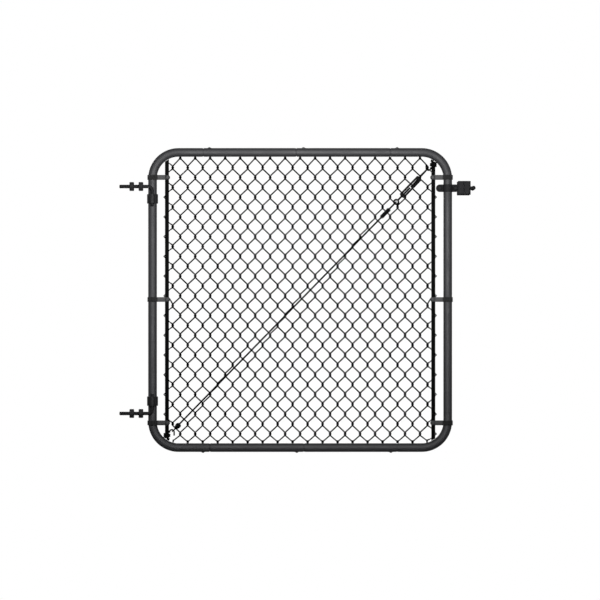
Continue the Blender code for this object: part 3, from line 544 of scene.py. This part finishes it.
# Legs that lean like a backslash lie in front of the others, so every wire winds the same way
def wovenWire(column):
    left, other = hubHeights(column), hubHeights(column + 1)
    startsLeft = column % 2 == 0
    first, second = (left, other) if startsLeft else (other, left)
    hubs = [item for pair in zip(first, second) for item in pair]
    path = []
    for index, z in enumerate(hubs):
        onLeft = (index % 2 == 0) == startsLeft
        x = (column if onLeft else column + 1) * fabric["column"]
        side = 1 if onLeft else -1
        y = fabric["depth"] * side
        if index == 0:
            path += knuckleEnd(x, z, side, -y, 1)
        elif index == len(hubs) - 1:
            path += knuckleEnd(x, z, side, y, -1)[::-1]
        else:
            path += hookTurn(x, z, -side, -side)
    return path


for name, node, first in (("wovenWireLeft", "fabric_left", -fabric["columns"]),
                          ("wovenWireRight", "fabric_right", 0)):
    piece = wireAlong([wovenWire(first + i) for i in range(fabric["columns"])], fabric["wire"], 2)
    setPiece(piece, name, "wire_coat", [node], smooth=60)
print("woven wire made")

# The outermost wire of each side also winds round the flat bar, row by row
barWrap = {"clear": 0.0004, "inside": 0.0021, "tipOut": 0.0042, "cornerOut": 0.0009, "rise": 0.0035,
           "missBolt": 0.0110, "endRise": 0.0170, "slimFrom": 0.0035}


def edgeWire(way, rows, freeEnd):
    x17 = fabric["columns"] * fabric["column"]
    outside, inside = bar["centre"] + bar["width"] / 2, bar["centre"] - bar["width"] / 2 - barWrap["inside"]
    depth = bar["thick"] / 2 + barWrap["clear"] + fabric["edgeWire"]
    tip, corner = outside + barWrap["tipOut"], outside + barWrap["cornerOut"]
    boltX = tube["half"] - band["boltOut"]
    hubs = hubHeights(fabric["columns"])[:rows + 1]
    loops = hubHeights(fabric["columns"] + 1)[1:]
    first = -depth * way              # the leg that arrives at the bar
    path = hookTurn(x17, hubs[0], -1, -way)
    if freeEnd:
        rise = hubs[0] + barWrap["endRise"]
        end = [Vector((inside + 0.0060, -first, rise + 0.0022)), Vector((inside + 0.0010, -first, rise))]
        path = roundedPath([*end, path[0]], 4)[:-1] + path
    for top, z, hub in zip(hubs, loops, hubs[1:]):
        share = (tip - inside) / (tip - x17)
        high, low = z + (top - z) * share, z + (hub - z) * share
        turn = [path[-1], Vector((inside, first, high)), Vector((corner, first, z + barWrap["rise"])),
                Vector((tip, 0, z)), Vector((corner, -first, z - barWrap["rise"]))]
        crossing = z + (low - z) * (tip - boltX) / (tip - inside)
        if any(abs(crossing - row) < barWrap["missBolt"] for row in band["rows"]):
            turn += [Vector((boltX + 0.001, -first, z - 0.0060)),
                     Vector((inside + 0.0005, -first, z - 0.0100))]
        else:
            turn.append(Vector((inside, -first, low)))
        hook = hookTurn(x17, hub, -1, -way)
        path += roundedPath([*turn, hook[0]], 4)[1:-1] + hook
    thick = fabric["wire"] / fabric["edgeWire"]    # slimmer where it passes between the bands' tabs
    slimFrom = inside - barWrap["slimFrom"]
    return [(Vector((co.x * way, co.y, co.z)), thick if co.x < slimFrom else 1.0) for co in path]


edgeRows = len(hubHeights(fabric["columns"])) - 1
for name, way, rows, node in (("edgeWireLeft", -1, edgeRows - 1, "fabric_edge_left"),
                              ("edgeWireRight", 1, edgeRows, "fabric_edge_right")):
    piece = wireAlong([edgeWire(way, rows, way < 0)], fabric["edgeWire"], 3)
    setPiece(piece, name, "wire_coat", [node], smooth=60)
print("edge wires made")


# Flat bars that the outer wires wind round
def makeBar(way, node):
    deselect()
    bpy.ops.mesh.primitive_cube_add(size=1, location=(way * bar["centre"], 0, 0))
    piece = bpy.context.object
    startEdit(piece, everything=True)
    bpy.ops.transform.resize(value=(bar["width"], bar["thick"], 2 * bar["half"]))
    pickVerts(piece, lambda co: co.x * way < 0 and co.z * way < 0)
    bpy.ops.transform.translate(value=(0, 0, -way * bar["slope"]))
    bpy.ops.mesh.select_all(action="SELECT")
    bpy.ops.mesh.bevel(offset=0.0007, segments=3, affect="EDGES")
    endEdit()
    setNode(piece, node, "bar_coat")


makeBar(-1, "tension_bar_left")
makeBar(1, "tension_bar_right")


def placed(piece, x, z, way):
    turn = Matrix.Rotation(math.pi if way > 0 else 0.0, 4, "Z")
    piece.data.transform(Matrix.Translation((x, 0, z)) @ turn)
    return piece


# Pressed bands: a strap round the tube with two tabs that reach past the bar
def makeBand(way, row):
    onBend = abs(row) + band["height"] / 2 > tube["half"] - tube["bend"]
    slack = band["slack"] if onBend else 0.0
    middle = tube["radius"] + tube["gap"] + slack + band["thick"] / 2
    tabY = (band["tabGap"] + band["thick"]) / 2
    join = math.asin(tabY / middle)
    reach = band["boltOut"] + band["height"] / 2
    wrap = [(x + slack, y) for x, y in arcPoints((0, 0), middle, -join * 1.15, join * 1.15 - 2 * math.pi, 40)]
    plan = [(reach, -tabY), (0.0235, -tabY), (0.0195, -tabY - 0.0001), *wrap, (0.0195, tabY + 0.0001),
            (0.0235, tabY), (reach, tabY)]
    piece = strapFrom(plan, band["height"], band["thick"], 0.0006)
    return placed(piece, way * tube["half"], row, way)


# Carriage bolt: domed head in front, hex nut and washer behind
def makeBolt(headR, headTall, shankR, face, flats, nutTall, tail):
    dome = [(headTall * -math.cos(a) - face, headR * math.sin(a))
            for a in (math.radians(d) for d in (8, 22, 38, 54, 70, 82))]
    end, tip = face + nutTall, face + nutTall + tail
    head = turned([*dome, (-face - 0.0003, headR), (-face, headR * 0.985), (-face, shankR),
                   (tip - 0.0006, shankR), (tip, shankR * 0.82)], Vector(), back, 36)
    washer = turned([(face + 0.0001, flats * 0.78), (face + 0.0013, flats * 0.78),
                     (face + 0.0015, flats * 0.74), (face + 0.0015, shankR * 1.02)], Vector(), back, 32)
    corner = flats / math.sqrt(3)
    nut = turned([(face + 0.0016, corner * 0.93), (face + 0.0022, corner), (end - 0.0008, corner),
                  (end, corner * 0.9), (end, shankR * 1.12), (end - 0.0008, shankR * 1.02)],
                 Vector(), back, 6)
    roundEdges(nut, 0.0003, 2, 20)
    return joined([head, washer, nut])


bandBolt = makeBolt(headR=0.0095, headTall=0.0042, shankR=0.00395, face=band["tabGap"] / 2 + band["thick"],
                    flats=0.0127, nutTall=0.0068, tail=0.0035)
for side, way in (("left", -1), ("right", 1)):
    for label, row in zip(("top", "middle", "bottom"), band["rows"]):
        setNode(makeBand(way, row), f"band_{side}_{label}", "band_coat")
        spot = Matrix.Translation((way * (tube["half"] - band["boltOut"]), 0, row))
        piece = copyOf(bandBolt, spot @ Matrix.Rotation(0.3 * way + row, 4, "Y"))
        setPiece(piece, f"bandBolt{side.title()}{label.title()}", "band_coat")
bpy.data.objects.remove(bandBolt)
print("bars and bands made")

# Hinge bolts bent down or up into a pin, threaded where they pass the post
hinge = {"row": 0.4544, "radius": 0.00635, "reach": 0.1315, "bend": 0.0176, "pin": 0.0780, "front": 0.0281,
         "stem": 1.10, "nutFlats": 0.0350, "nutThick": 0.0179, "nutSpace": 0.0187, "seat": 0.0542,
         "threadTo": 0.0340, "threadR": 0.00056, "pitch": 0.0020, "strapRow": 0.4057, "strapTall": 0.0370,
         "strapThick": 0.0042, "slit": 0.0040, "tabReach": 0.0480, "tabBolt": 0.0340, "barrelWall": 0.0048}


def helixPoints(start, way, side, other, radius, pitch, turns, perTurn):
    spots = []
    for i in range(int(turns * perTurn) + 1):
        angle = 2 * math.pi * i / perTurn
        across = (side * math.cos(angle) + other * math.sin(angle)) * radius
        spots.append(start + way * (pitch * i / perTurn) + across)
    return spots


def makeHingeBolt(sign):
    size, rise = hinge, up * sign
    bend, stem = size["bend"], size["stem"]
    x, y = -tube["half"], -size["front"]
    corner = Vector((x - bend, y, sign * (size["row"] - bend)))
    turn = [corner + right * (bend * math.sin(a)) + rise * (bend * math.cos(a))
            for a in (math.pi / 2 * i / 14 for i in range(15))]
    start = Vector((x - size["reach"], y, sign * size["row"]))
    end = Vector((x, y, sign * (size["row"] - size["pin"])))
    threadEnd = start + right * (size["reach"] - size["threadTo"] - bend)
    path = [(start, 0.72), (start + right * 0.0010, 0.86), (start + right * 0.0020, stem), (threadEnd, stem),
            (threadEnd + right * 0.0015, stem)]
    path += [(point, stem + (1 - stem) * i / 14) for i, point in enumerate(turn)]
    path += [(end + rise * 0.0014, 1.0), (end + rise * 0.0005, 0.93), (end, 0.80)]
    core = wireAlong([path], size["radius"], 8)
    turns = (threadEnd - start).x / size["pitch"] - 1.2
    first, stemR = start + right * 0.0014, size["radius"] * stem
    thread = helixPoints(first, right, up, -back, stemR, size["pitch"], turns, 14)
    return joined([core, wireAlong([thread], size["threadR"], 0)])


def makeHexNut(centre):
    thick, bore = hinge["nutThick"], hinge["radius"] + 0.0002
    corner = hinge["nutFlats"] / math.sqrt(3)
    nut = turned([(0.0, corner * 0.88), (0.0008, corner * 0.955), (0.0016, corner), (thick - 0.0016, corner),
                  (thick - 0.0008, corner * 0.955), (thick, corner * 0.88), (thick, bore * 1.10),
                  (thick - 0.0010, bore), (0.0010, bore), (0.0, bore * 1.10)], centre, right, 6)
    roundEdges(nut, 0.0004, 2, 20)
    return nut


ends, faces = (("top", 1), ("bottom", -1)), (("front", -1), ("back", 1))
for label, sign in ends:
    setNode(makeHingeBolt(sign), f"hinge_bolt_{label}", "latch_coat", "post_hinges", 50)
    seatX = -tube["half"] - hinge["seat"]
    for which, x in (("inner", seatX), ("outer", seatX - hinge["nutSpace"] - hinge["nutThick"])):
        nut = makeHexNut(Vector((x, -hinge["front"], sign * hinge["row"])))
        setNode(nut, f"hinge_nut_{label}_{which}", "hinge_coat", "post_hinges", 25)
print("hinge bolts made")


# Hinge strap: it wraps the tube, carries the pin's barrel in front and is bolted behind
def strapPlan():
    size = hinge
    innerR, outerR = tube["radius"] + tube["gap"], tube["radius"] + tube["gap"] + size["strapThick"]
    barrelR = size["radius"] + tube["gap"] + size["barrelWall"]
    front = size["front"]
    reach = (outerR**2 - barrelR**2 + front**2) / (2 * front)
    wide = math.sqrt(outerR**2 - reach**2)
    slit, tab = size["slit"] / 2, size["slit"] / 2 + size["strapThick"]
    rightArc = arcPoints((0, 0), outerR, math.atan2(-reach, wide), math.pi / 2 - math.asin(tab / outerR), 22)
    leftArc = [(-x, y) for x, y in reversed(rightArc)]
    turn = math.asin(slit / innerR)
    inner = arcPoints((0, 0), innerR, math.pi / 2 - turn, -3 * math.pi / 2 + turn, 44)
    meet = math.atan2(front - reach, wide)
    barrel = arcPoints((0, -front), barrelR, math.pi - meet, 2 * math.pi + meet, 28)[1:-1]
    return [*rightArc, (tab, size["tabReach"]), (slit, size["tabReach"]), *inner,
            (-slit, size["tabReach"]), (-tab, size["tabReach"]), *leftArc, *barrel]


def makeHingeStrap(sign):
    bore = arcPoints((0, -hinge["front"]), hinge["radius"] + tube["gap"], 0, 2 * math.pi, 36)[:-1]
    piece = plateFrom([strapPlan(), bore], hinge["strapTall"], 0.0012, 3)
    piece.data.transform(Matrix.Rotation(-math.pi / 2, 4, "X"))
    piece.data.transform(Matrix.Translation((-tube["half"], 0, sign * hinge["strapRow"])))
    return piece


strapBolt = makeBolt(headR=0.0088, headTall=0.0040, shankR=0.0040, flats=0.0127, nutTall=0.0068, tail=0.0035,
                     face=hinge["slit"] / 2 + hinge["strapThick"])
for label, sign in ends:
    setNode(makeHingeStrap(sign), f"hinge_strap_{label}", "hinge_coat")
    spot = Matrix.Translation((-tube["half"], hinge["tabBolt"], sign * hinge["strapRow"]))
    piece = copyOf(strapBolt, spot @ Matrix.Rotation(-math.pi / 2, 4, "Z"))
    setPiece(piece, f"strapBolt{label.title()}", "hinge_coat")
bpy.data.objects.remove(strapBolt)
print("hinge straps made")

# Latch: split clamp on the tube, tongue on its outer bolt, fork with ball ends and two jaws
latch = {"row": 0.4485, "tall": 0.0300, "thick": 0.0035, "space": 0.0070, "ear": 0.0470, "boltOut": 0.0320,
         "boltR": 0.00475, "tongueThick": 0.0064, "tongueR": 0.0085, "rodR": 0.0060, "forkOut": 0.0265,
         "forkBend": 0.0150, "ballOut": 0.0696, "ballR": 0.0086, "inner": 0.0320, "jawThick": 0.0030,
         "jawStart": 0.0068, "jawLong": 0.0511, "jawTall": 0.0552, "jawCorner": 0.0015, "jawRim": 0.0009,
         "jawSlope": 0.0058, "bead": 0.0034, "beadOut": 0.0314, "beadSunk": 0.0014}
pivotX = tube["half"] + latch["boltOut"]


def makeClampHalf(way):
    middle = tube["radius"] + tube["gap"] + latch["thick"] / 2
    earY = (latch["space"] + latch["thick"]) / 2
    join = math.asin(earY / middle)
    wrap = arcPoints((0, 0), middle, -math.pi + join * 1.2, -join * 1.2, 30)
    plan = [(-latch["ear"], -earY), (-0.0235, -earY), *wrap, (0.0235, -earY), (latch["ear"], -earY)]
    piece = strapFrom(plan, latch["tall"], latch["thick"], 0.0007)
    return placed(piece, tube["half"], latch["row"], way)


for label, way in faces:
    setNode(makeClampHalf(way), f"latch_clamp_{label}", "latch_coat")
clampBolt = makeBolt(headR=0.0104, headTall=0.0055, shankR=latch["boltR"], flats=0.0143, nutTall=0.0082,
                     tail=0.0, face=latch["space"] / 2 + latch["thick"] + tube["gap"])
setNode(copyOf(clampBolt, Matrix.Translation((pivotX, 0, latch["row"]))), "latch_pivot_bolt", "latch_coat")
setPiece(copyOf(clampBolt, Matrix.Translation((tube["half"] - latch["boltOut"], 0, latch["row"]))),
         "latchClampBolt", "latch_coat")
bpy.data.objects.remove(clampBolt)


def makeTongue():
    bolt, rod = (pivotX, latch["row"]), (pivotX + latch["forkOut"], latch["row"])
    eyeR, half = latch["rodR"] + 0.0030, math.pi / 2
    lean = math.asin((eyeR - latch["tongueR"]) / latch["forkOut"])
    outline = [*arcPoints(bolt, latch["tongueR"], half + lean, 3 * half - lean, 20),
               *arcPoints(rod, eyeR, -half - lean, half + lean, 20)]
    holes = [arcPoints(centre, radius + tube["gap"], 0, 2 * math.pi, 32)[:-1]
             for centre, radius in ((bolt, latch["boltR"]), (rod, latch["rodR"]))]
    return plateFrom([outline, *holes], latch["tongueThick"], 0.0006)


def makeFork():
    barX, sideY = pivotX + latch["forkOut"], latch["inner"] + latch["rodR"]
    ballX, z, rodR, ballR = pivotX + latch["ballOut"], latch["row"], latch["rodR"], latch["ballR"]
    curve = latch["forkBend"]
    bend = arcPoints((barX + curve, curve - sideY), curve, math.pi, 1.5 * math.pi, 12)
    far = [Vector((x, -y, z)) for x, y in reversed(bend)]
    near = [Vector((x, y, z)) for x, y in bend]
    parts = [wireAlong([[Vector((ballX, sideY, z)), *far, *near, Vector((ballX, -sideY, z))]], rodR, 8)]
    start = math.asin(rodR / ballR)
    ball = [(-ballR * math.cos(a), ballR * math.sin(a))
            for a in (start + (math.pi - 0.22 - start) * i / 14 for i in range(15))]
    parts += [turned(ball, Vector((ballX, y, z)), right, 32) for y in (-sideY, sideY)]
    return joined(parts)


# A jaw plate with a pressed bead down its middle and a flat across where the rod lies behind
def makeJaw(way):
    left, low = pivotX + latch["jawStart"], latch["row"] - latch["jawTall"] / 2
    wide, tall, corner = latch["jawLong"], latch["jawTall"], latch["jawCorner"]
    outline, farX, farZ = [], wide - corner, tall - corner
    for quarter, (x, z) in enumerate(((corner, corner), (farX, corner), (farX, farZ), (corner, farZ))):
        start = math.pi * (1 + quarter / 2)
        outline += arcPoints((left + x, low + z), corner, start, start + math.pi / 2, 5)
    face = latch["inner"] + 2 * latch["rodR"] + tube["gap"]
    rim, slope = latch["jawRim"], latch["jawSlope"]
    plate = plateFrom([outline], rim, middleY=way * (face + rim / 2))
    middle = Vector((left + wide / 2, 0, latch["row"]))
    startEdit(plate)
    pickVerts(plate, lambda co: co.y * way > face + rim / 2)
    growRing((0, way * (latch["jawThick"] - rim), 0))
    bpy.ops.transform.resize(value=(1 - 2 * slope / wide, 1, 1 - 2 * slope / tall), center_override=middle)
    endEdit()
    roundEdges(plate, 0.0005, 2, 15)
    beadX, beadY = pivotX + latch["beadOut"], way * (face + latch["jawThick"] - latch["beadSunk"])
    bead = [Vector((beadX, beadY, low + dz))
            for dz in (0.0010, 0.0030, tall / 2, tall - 0.0030, tall - 0.0010)]
    return joined([plate, wireAlong([bead], latch["bead"], 6)])


setNode(makeTongue(), "latch_tongue", "latch_coat", "latch_fork_body")
setNode(makeFork(), "latch_fork", "latch_coat", "latch_fork_body", 60)
for label, way in faces:
    setNode(makeJaw(way), f"latch_jaw_{label}", "latch_coat", "latch_fork_body")
print("latch made")

# Truss: bent-rod corner anchors, twisted cable with socket and sleeve, and the turnbuckle
truss = {"forward": 0.0120, "rod": 0.0030, "overAt": (0.0068, 0.0018), "overSlack": 0.0020, "overShare": 1.15,
         "wrapDrop": 0.0196, "corners": 10, "hookR": 0.0092, "hookX": 0.5143, "hookZ": 0.5292, "tipZ": 0.5436,
         "cable": 0.0036, "sleeveLong": 0.0470, "sleeveWide": 0.0165, "sleeveBack": 0.0627, "eyeR": 0.0089,
         "eyeRod": 0.0038, "eyeBack": 0.0302, "bodyToGrip": 0.0421, "bodyLong": 0.1060, "bodyWide": 0.0252,
         "bodyThick": 0.0130, "bodySide": 0.0081, "bodyEnd": 0.0060, "boss": 0.0140, "thickRod": 0.0038,
         "thickLow": 0.0008, "slimRod": 0.0039, "endEye": 0.0060, "socketR": 0.0110, "socketRod": 0.0027,
         "threadR": 0.00022, "eyePitch": 0.0010, "hookPitch": 0.00125, "lay": 0.030, "layStep": 0.0035}
inset = truss["hookR"] / math.sqrt(2)
grip = Vector((truss["hookX"] - inset, 0, truss["hookZ"] - inset))
trussWay, trussHalf = grip.normalized(), grip.length
trussUp = Vector((-trussWay.z, 0, trussWay.x))
bodyStart = trussHalf - truss["bodyToGrip"] - truss["bodyLong"]
bodyMiddle = bodyStart + truss["bodyLong"] / 2
eyeAt = bodyStart - truss["eyeBack"]
sleeveAt = eyeAt - truss["sleeveBack"]

# The cable and turnbuckle sag a little between the two hooks: (distance, across)
sagLine = ((-0.7288, 0.0), (-0.69, 0.0010), (-0.35, 0.0), (0.15, -0.0018), (0.45, -0.0025), (0.64, -0.0021),
           (0.7288, 0.0))


def sagAt(distance):
    for (start, low), (end, high) in zip(sagLine, sagLine[1:]):
        if distance <= end:
            return low + (high - low) * (distance - start) / (end - start)
    return sagLine[-1][1]


def onTruss(distance, forward=0.0, across=0.0):
    return trussWay * distance - back * (truss["forward"] + forward) + trussUp * (across + sagAt(distance))


def eyePoints(centre, away, side, radius, start, end, steps=26):
    turn = (math.radians(start + (end - start) * i / steps) for i in range(steps + 1))
    return [centre + away * (radius * math.cos(a)) + side * (radius * math.sin(a)) for a in turn]


# A rod hooked for the truss, then wound up round the bar's top end and over it
def makeAnchor():
    reach, thick = truss["rod"] + tube["gap"], bar["thick"] / 2
    face, short = thick + reach, reach * (1 - math.sqrt(0.5))
    near, top = bar["centre"] - bar["width"] / 2 - reach, bar["half"]
    pitch, first = 2 * truss["rod"], top - truss["wrapDrop"]
    tip = Vector((truss["hookX"] - truss["hookR"], -truss["forward"], truss["tipZ"]))
    hook = arcPoints((truss["hookX"], truss["hookZ"]), truss["hookR"], -math.pi, 0, 18)
    path = [(tip, 0.75), (tip - up * 0.0006, 1.0), *[Vector((x, -truss["forward"], z)) for x, z in hook]]
    wrap = [path[-1], Vector((near, -truss["forward"], first - pitch))]
    for i in range(3 * truss["corners"]):
        corner, part = divmod(i, 3)
        turn, middle = (1.5 + (corner + part / 2) / 2) * math.pi, (1.5 + (corner + 0.5) / 2) * math.pi
        x = bar["centre"] + math.copysign(bar["width"] / 2, math.cos(middle)) + reach * math.cos(turn)
        y = math.copysign(thick, math.sin(middle)) + reach * math.sin(turn)
        wrap.append(Vector((x, y, first + pitch * (corner + part / 2) / 4)))
    arch = ((face, 0.0), (face - short, reach - short), (thick, reach), (-thick, reach),
            (short - face, reach - short), (-face, 0.0))
    over, across = (bar["centre"] - part for part in truss["overAt"])    # once to the front, then back again
    wrap += [Vector((over, y, top + rise + (truss["overSlack"] if rise else 0))) for y, rise in arch]
    wrap.append(Vector(((over + across) / 2, -face, top - (across - over) / 2)))
    wrap += [Vector((across, y, top + rise)) for y, rise in reversed(arch)]
    wrap.append(Vector((across, face, top - 0.0040)))
    path += [(point, truss["overShare"] if point.z > top else 1.0)
             for point in roundedPath(wrap, 3, 0.35)[1:]]
    return wireAlong([path], truss["rod"], 5)


setTwins(makeAnchor(), "corner_anchor_top", "corner_anchor_bottom", "truss_coat", 60)


def makeSocket():
    low, wide = -trussHalf, truss["socketR"]
    eye = eyePoints(onTruss(low), trussWay, -back, truss["endEye"] - 0.0002, -322, -28)
    hook = wireAlong([[*eye, onTruss(low + 0.0085), onTruss(low + 0.0120)]], truss["socketRod"], 5)
    cup = [(0.0075, 0.0030), (0.0090, 0.0042), (0.0120, wide * 0.52), (0.0160, wide * 0.74),
           (0.0200, wide * 0.88), (0.0240, wide * 0.97), (0.0270, wide), (0.0300, wide * 0.97),
           (0.0330, wide * 0.86), (0.0352, wide * 0.70), (0.0365, wide * 0.50), (0.0365, 0.0030),
           (0.0250, 0.0029)]
    return joined([hook, turned(cup, onTruss(low), trussWay, 40, trussUp)])


# A turnbuckle's rod with a raised thread round it from start
def threadedRod(path, rodR, resolution, start, pitch, turns):
    rod = wireAlong([path], rodR, resolution)
    thread = helixPoints(start, trussWay, trussUp, back, rodR, pitch, turns, 10)
    return joined([rod, wireAlong([thread], truss["threadR"], 0)])


def makeEyeRod():
    eye = eyePoints(onTruss(eyeAt), trussWay, trussUp, truss["eyeR"], 346, 14, 34)
    end = onTruss(bodyMiddle - 0.004)
    path = [*eye, onTruss(eyeAt + truss["eyeR"] + 0.0030), (end - trussWay * 0.0008, 1.0), (end, 0.75)]
    turns = (bodyMiddle - 0.006 - bodyStart + 0.018) / truss["eyePitch"]
    return threadedRod(path, truss["eyeRod"], 5, onTruss(bodyStart - 0.018), truss["eyePitch"], turns)


def makeHookRod():
    eye = eyePoints(onTruss(trussHalf), -trussWay, -back, truss["endEye"], -322, -30)
    slim = bodyStart + truss["bodyLong"] + 0.0030
    share, low = truss["slimRod"] / truss["thickRod"], -truss["thickLow"]
    path = [*[(spot, share * 0.9) for spot in eye], (onTruss(trussHalf - truss["endEye"] - 0.0045), share),
            (onTruss(slim + 0.004), share)]
    path += [(onTruss(slim + 0.001, 0.0, low), 0.95), (onTruss(slim, 0.0, low), 1.0),
             (onTruss(bodyMiddle + 0.001, 0.0, low), 1.0), (onTruss(bodyMiddle, 0.0, low), 0.82)]
    start, pitch = onTruss(bodyMiddle + 0.002, 0.0, low), truss["hookPitch"]
    return threadedRod(path, truss["thickRod"], 6, start, pitch, (slim - 0.002 - bodyMiddle - 0.002) / pitch)


# Turnbuckle body: two side bars between two bosses, all in one forging
def makeBody():
    half, long, end, boss = truss["bodyWide"] / 2, truss["bodyLong"], truss["bodyEnd"], truss["boss"]
    edge = [(0, half - end), (0.0010, half - end * 0.5), (end * 0.6, half)]    # a quarter of the outline
    outline = [*[(x, -z) for x, z in edge], *[(long - x, -z) for x, z in reversed(edge)],
               *[(long - x, z) for x, z in edge], *reversed(edge)]
    slot = half - truss["bodySide"]
    window = [(boss, -slot), (long - boss, -slot), (long - boss, slot), (boss, slot)]
    plate = plateFrom([outline, window], truss["bodyThick"], 0.0020, 4)
    tilt = Matrix.Rotation(-math.atan2(trussWay.z, trussWay.x), 4, "Y")
    plate.data.transform(Matrix.Translation(onTruss(bodyStart)) @ tilt)
    collar = [(0.0, 0.0056), (0.0006, 0.0064), (boss - 0.001, 0.0068), (boss, 0.0060)]
    collars = [turned(collar, onTruss(at), trussWay, 32, trussUp)
               for at in (bodyStart - 0.0004, bodyStart + long - boss + 0.0004)]
    return joined([plate, *collars])


# Six strands laid round a core, along the cable's own route
def makeCable():
    strand = truss["cable"] + tube["gap"]
    loopR, loopAt = truss["eyeRod"] + truss["cable"] + 0.0005, eyeAt - truss["eyeR"]
    half = truss["sleeveLong"] / 2
    mouth, sleeveLow = sleeveAt + half, sleeveAt - half
    loop = [onTruss(loopAt + loopR * math.cos(a), loopR * math.sin(a))
            for a in (math.pi / 2 - math.pi * i / 14 for i in range(15))]
    corners = [onTruss(0.025 - trussHalf), onTruss(-0.35), onTruss(0.15), onTruss(sleeveLow - 0.020),
               onTruss(sleeveLow - 0.002, strand), onTruss(mouth + 0.002, strand)]
    tail = [onTruss(mouth + 0.002, -strand), onTruss(sleeveLow + 0.002, -strand)]
    path = evenPath(roundedPath(corners, 12) + loop[1:] + tail, truss["layStep"])
    strandR, centres = truss["cable"] / 3, [[] for _ in range(6)]
    for i, point in enumerate(path):
        along = (path[min(i + 1, len(path) - 1)] - path[max(i - 1, 0)]).normalized()
        outward = along.cross(trussUp).normalized()
        for k in range(6):
            angle = 2 * math.pi * (i * truss["layStep"] / truss["lay"] + k / 6)
            spoke = trussUp * math.cos(angle) + outward * math.sin(angle)
            centres[k].append(point + spoke * strandR * 2)
    return wireAlong([path, *centres], strandR * 1.02, 1)


def makeSleeve():
    long, deep = truss["sleeveLong"], truss["sleeveWide"] / 2 + 0.0012
    rings = [(0.0, deep * 0.84), (0.0006, deep * 0.92), (0.002, deep * 0.98), (0.005, deep)]
    for at in (0.0095, 0.0210, 0.0325):
        rings += [(at - 0.0025, deep), (at, deep * 0.955), (at + 0.0050, deep * 0.955), (at + 0.0075, deep)]
    rings += [(long - at, reach) for at, reach in reversed(rings[:4])]
    return turned(rings, onTruss(sleeveAt - long / 2), trussWay, 40, trussUp, truss["sleeveWide"] / 2 / deep)


for make, node, smooth in ((makeSocket, "truss_socket", 50), (makeEyeRod, "turnbuckle_eye_rod", 60),
                           (makeHookRod, "turnbuckle_hook_rod", 60), (makeBody, "turnbuckle_body", 35),
                           (makeCable, "truss_cable", 60), (makeSleeve, "truss_sleeve", 35)):
    setNode(make(), node, "truss_coat", smooth=smooth)
print("truss made")

# Pale floor far enough below the leaf that its shadow lies outside the camera's view
studio = {"floorDrop": 1.31, "floorSize": 30.0, "floorGrey": 0.45, "fadeFrom": 1.33, "fadeTo": 1.68,
          "nearFade": 0.9, "ambient": 0.05, "whiteShine": 0.03, "spread": 60, "distance": 13.375,
          "lens": 200.0, "aimX": -0.0005}


def makeFloor():
    deselect()
    bpy.ops.mesh.primitive_plane_add(size=studio["floorSize"], location=leafCentre - up * studio["floorDrop"])
    floor = bpy.context.object
    applyPlace(floor)
    floor.name = "studioFloor"
    material = bpy.data.materials.new("paleFloor")
    material.use_nodes = True
    tree = material.node_tree
    shader = tree.nodes["Principled BSDF"]
    grey = (*(studio["floorGrey"],) * 3, 1)
    feed(tree, shader, {"Base Color": grey, "Roughness": 0.9, "Specular IOR Level": 0.1})
    far = addNode(tree, "VectorMath", {0: fromLeafCentre(tree)}, {"operation": "LENGTH"})
    fade = addNode(tree, "MapRange", {"Value": far.outputs["Value"], "From Min": studio["fadeFrom"],
                                      "From Max": studio["fadeTo"], "To Min": studio["nearFade"]})
    rays = addNode(tree, "LightPath")
    share = mathNode(tree, "MULTIPLY", fade.outputs["Result"], rays.outputs["Is Camera Ray"])
    white = addNode(tree, "Emission", {"Color": (1, 1, 1, 1), "Strength": 1.0})
    blendInto(tree, "Material Output", share, shader, white)
    floor.data.materials.append(material)


def blendInto(tree, output, share, first, second):
    blend = addNode(tree, "MixShader", {0: share, 1: first.outputs[0], 2: second.outputs[0]})
    feed(tree, tree.nodes[output], {"Surface": blend.outputs[0]})


# White where the camera looks, dim for the rest, with a little white left in the coats' shine
def makeWorld():
    world = bpy.data.worlds.new("studioWorld")
    bpy.context.scene.world = world
    world.use_nodes = True
    tree = world.node_tree
    ambient = tree.nodes["Background"]
    feed(tree, ambient, {"Color": (0.95, 0.96, 1.0, 1), "Strength": studio["ambient"]})
    plain = addNode(tree, "Background", {"Color": (1, 1, 1, 1), "Strength": 1.0})
    rays = addNode(tree, "LightPath")
    seen = mathNode(tree, "MAXIMUM", rays.outputs["Is Camera Ray"], rays.outputs["Is Transmission Ray"])
    shine = mathNode(tree, "MULTIPLY", rays.outputs["Is Glossy Ray"], studio["whiteShine"])
    blendInto(tree, "World Output", mathNode(tree, "MAXIMUM", seen, shine), ambient, plain)


def makeLamp(name, place, aim, width, height, power, colour=(1, 1, 1)):
    deselect()
    bpy.ops.object.light_add(type="AREA", location=leafCentre + Vector(place))
    lamp = bpy.context.object
    lamp.name = name
    lamp.data.shape = "RECTANGLE"
    lamp.data.size, lamp.data.size_y = width, height
    lamp.data.energy, lamp.data.color = power, colour
    lamp.data.spread = math.radians(studio["spread"])
    way = Vector(aim) - Vector(place)
    lamp.rotation_euler = way.to_track_quat("-Z", "Y").to_euler()


def makeCamera():
    bpy.ops.object.camera_add(location=leafCentre + Vector((studio["aimX"], -studio["distance"], 0)),
                              rotation=(math.pi / 2, 0, 0))
    camera = bpy.context.object
    camera.data.sensor_width = 36.0
    camera.data.lens = studio["lens"]
    camera.data.clip_end = 100.0
    bpy.context.scene.camera = camera


makeFloor()
makeWorld()
makeLamp("frontBox", (0.0, -2.9, 0.70), (0, 0, 0.33), 1.6, 0.7, 17.5, (0.99, 0.99, 1.0))
for name, x in (("rightBox", 3.6), ("leftBox", -3.6)):
    makeLamp(name, (x, 0.5, 0.6), (0, 0, 0), 1.2, 1.8, 1.1)
makeLamp("rearBox", (-0.6, 3.2, 0.8), (0, 0, 0.2), 1.6, 0.8, 11)
makeCamera()
bpy.context.scene.view_settings.view_transform = "Standard"
print("studio made")
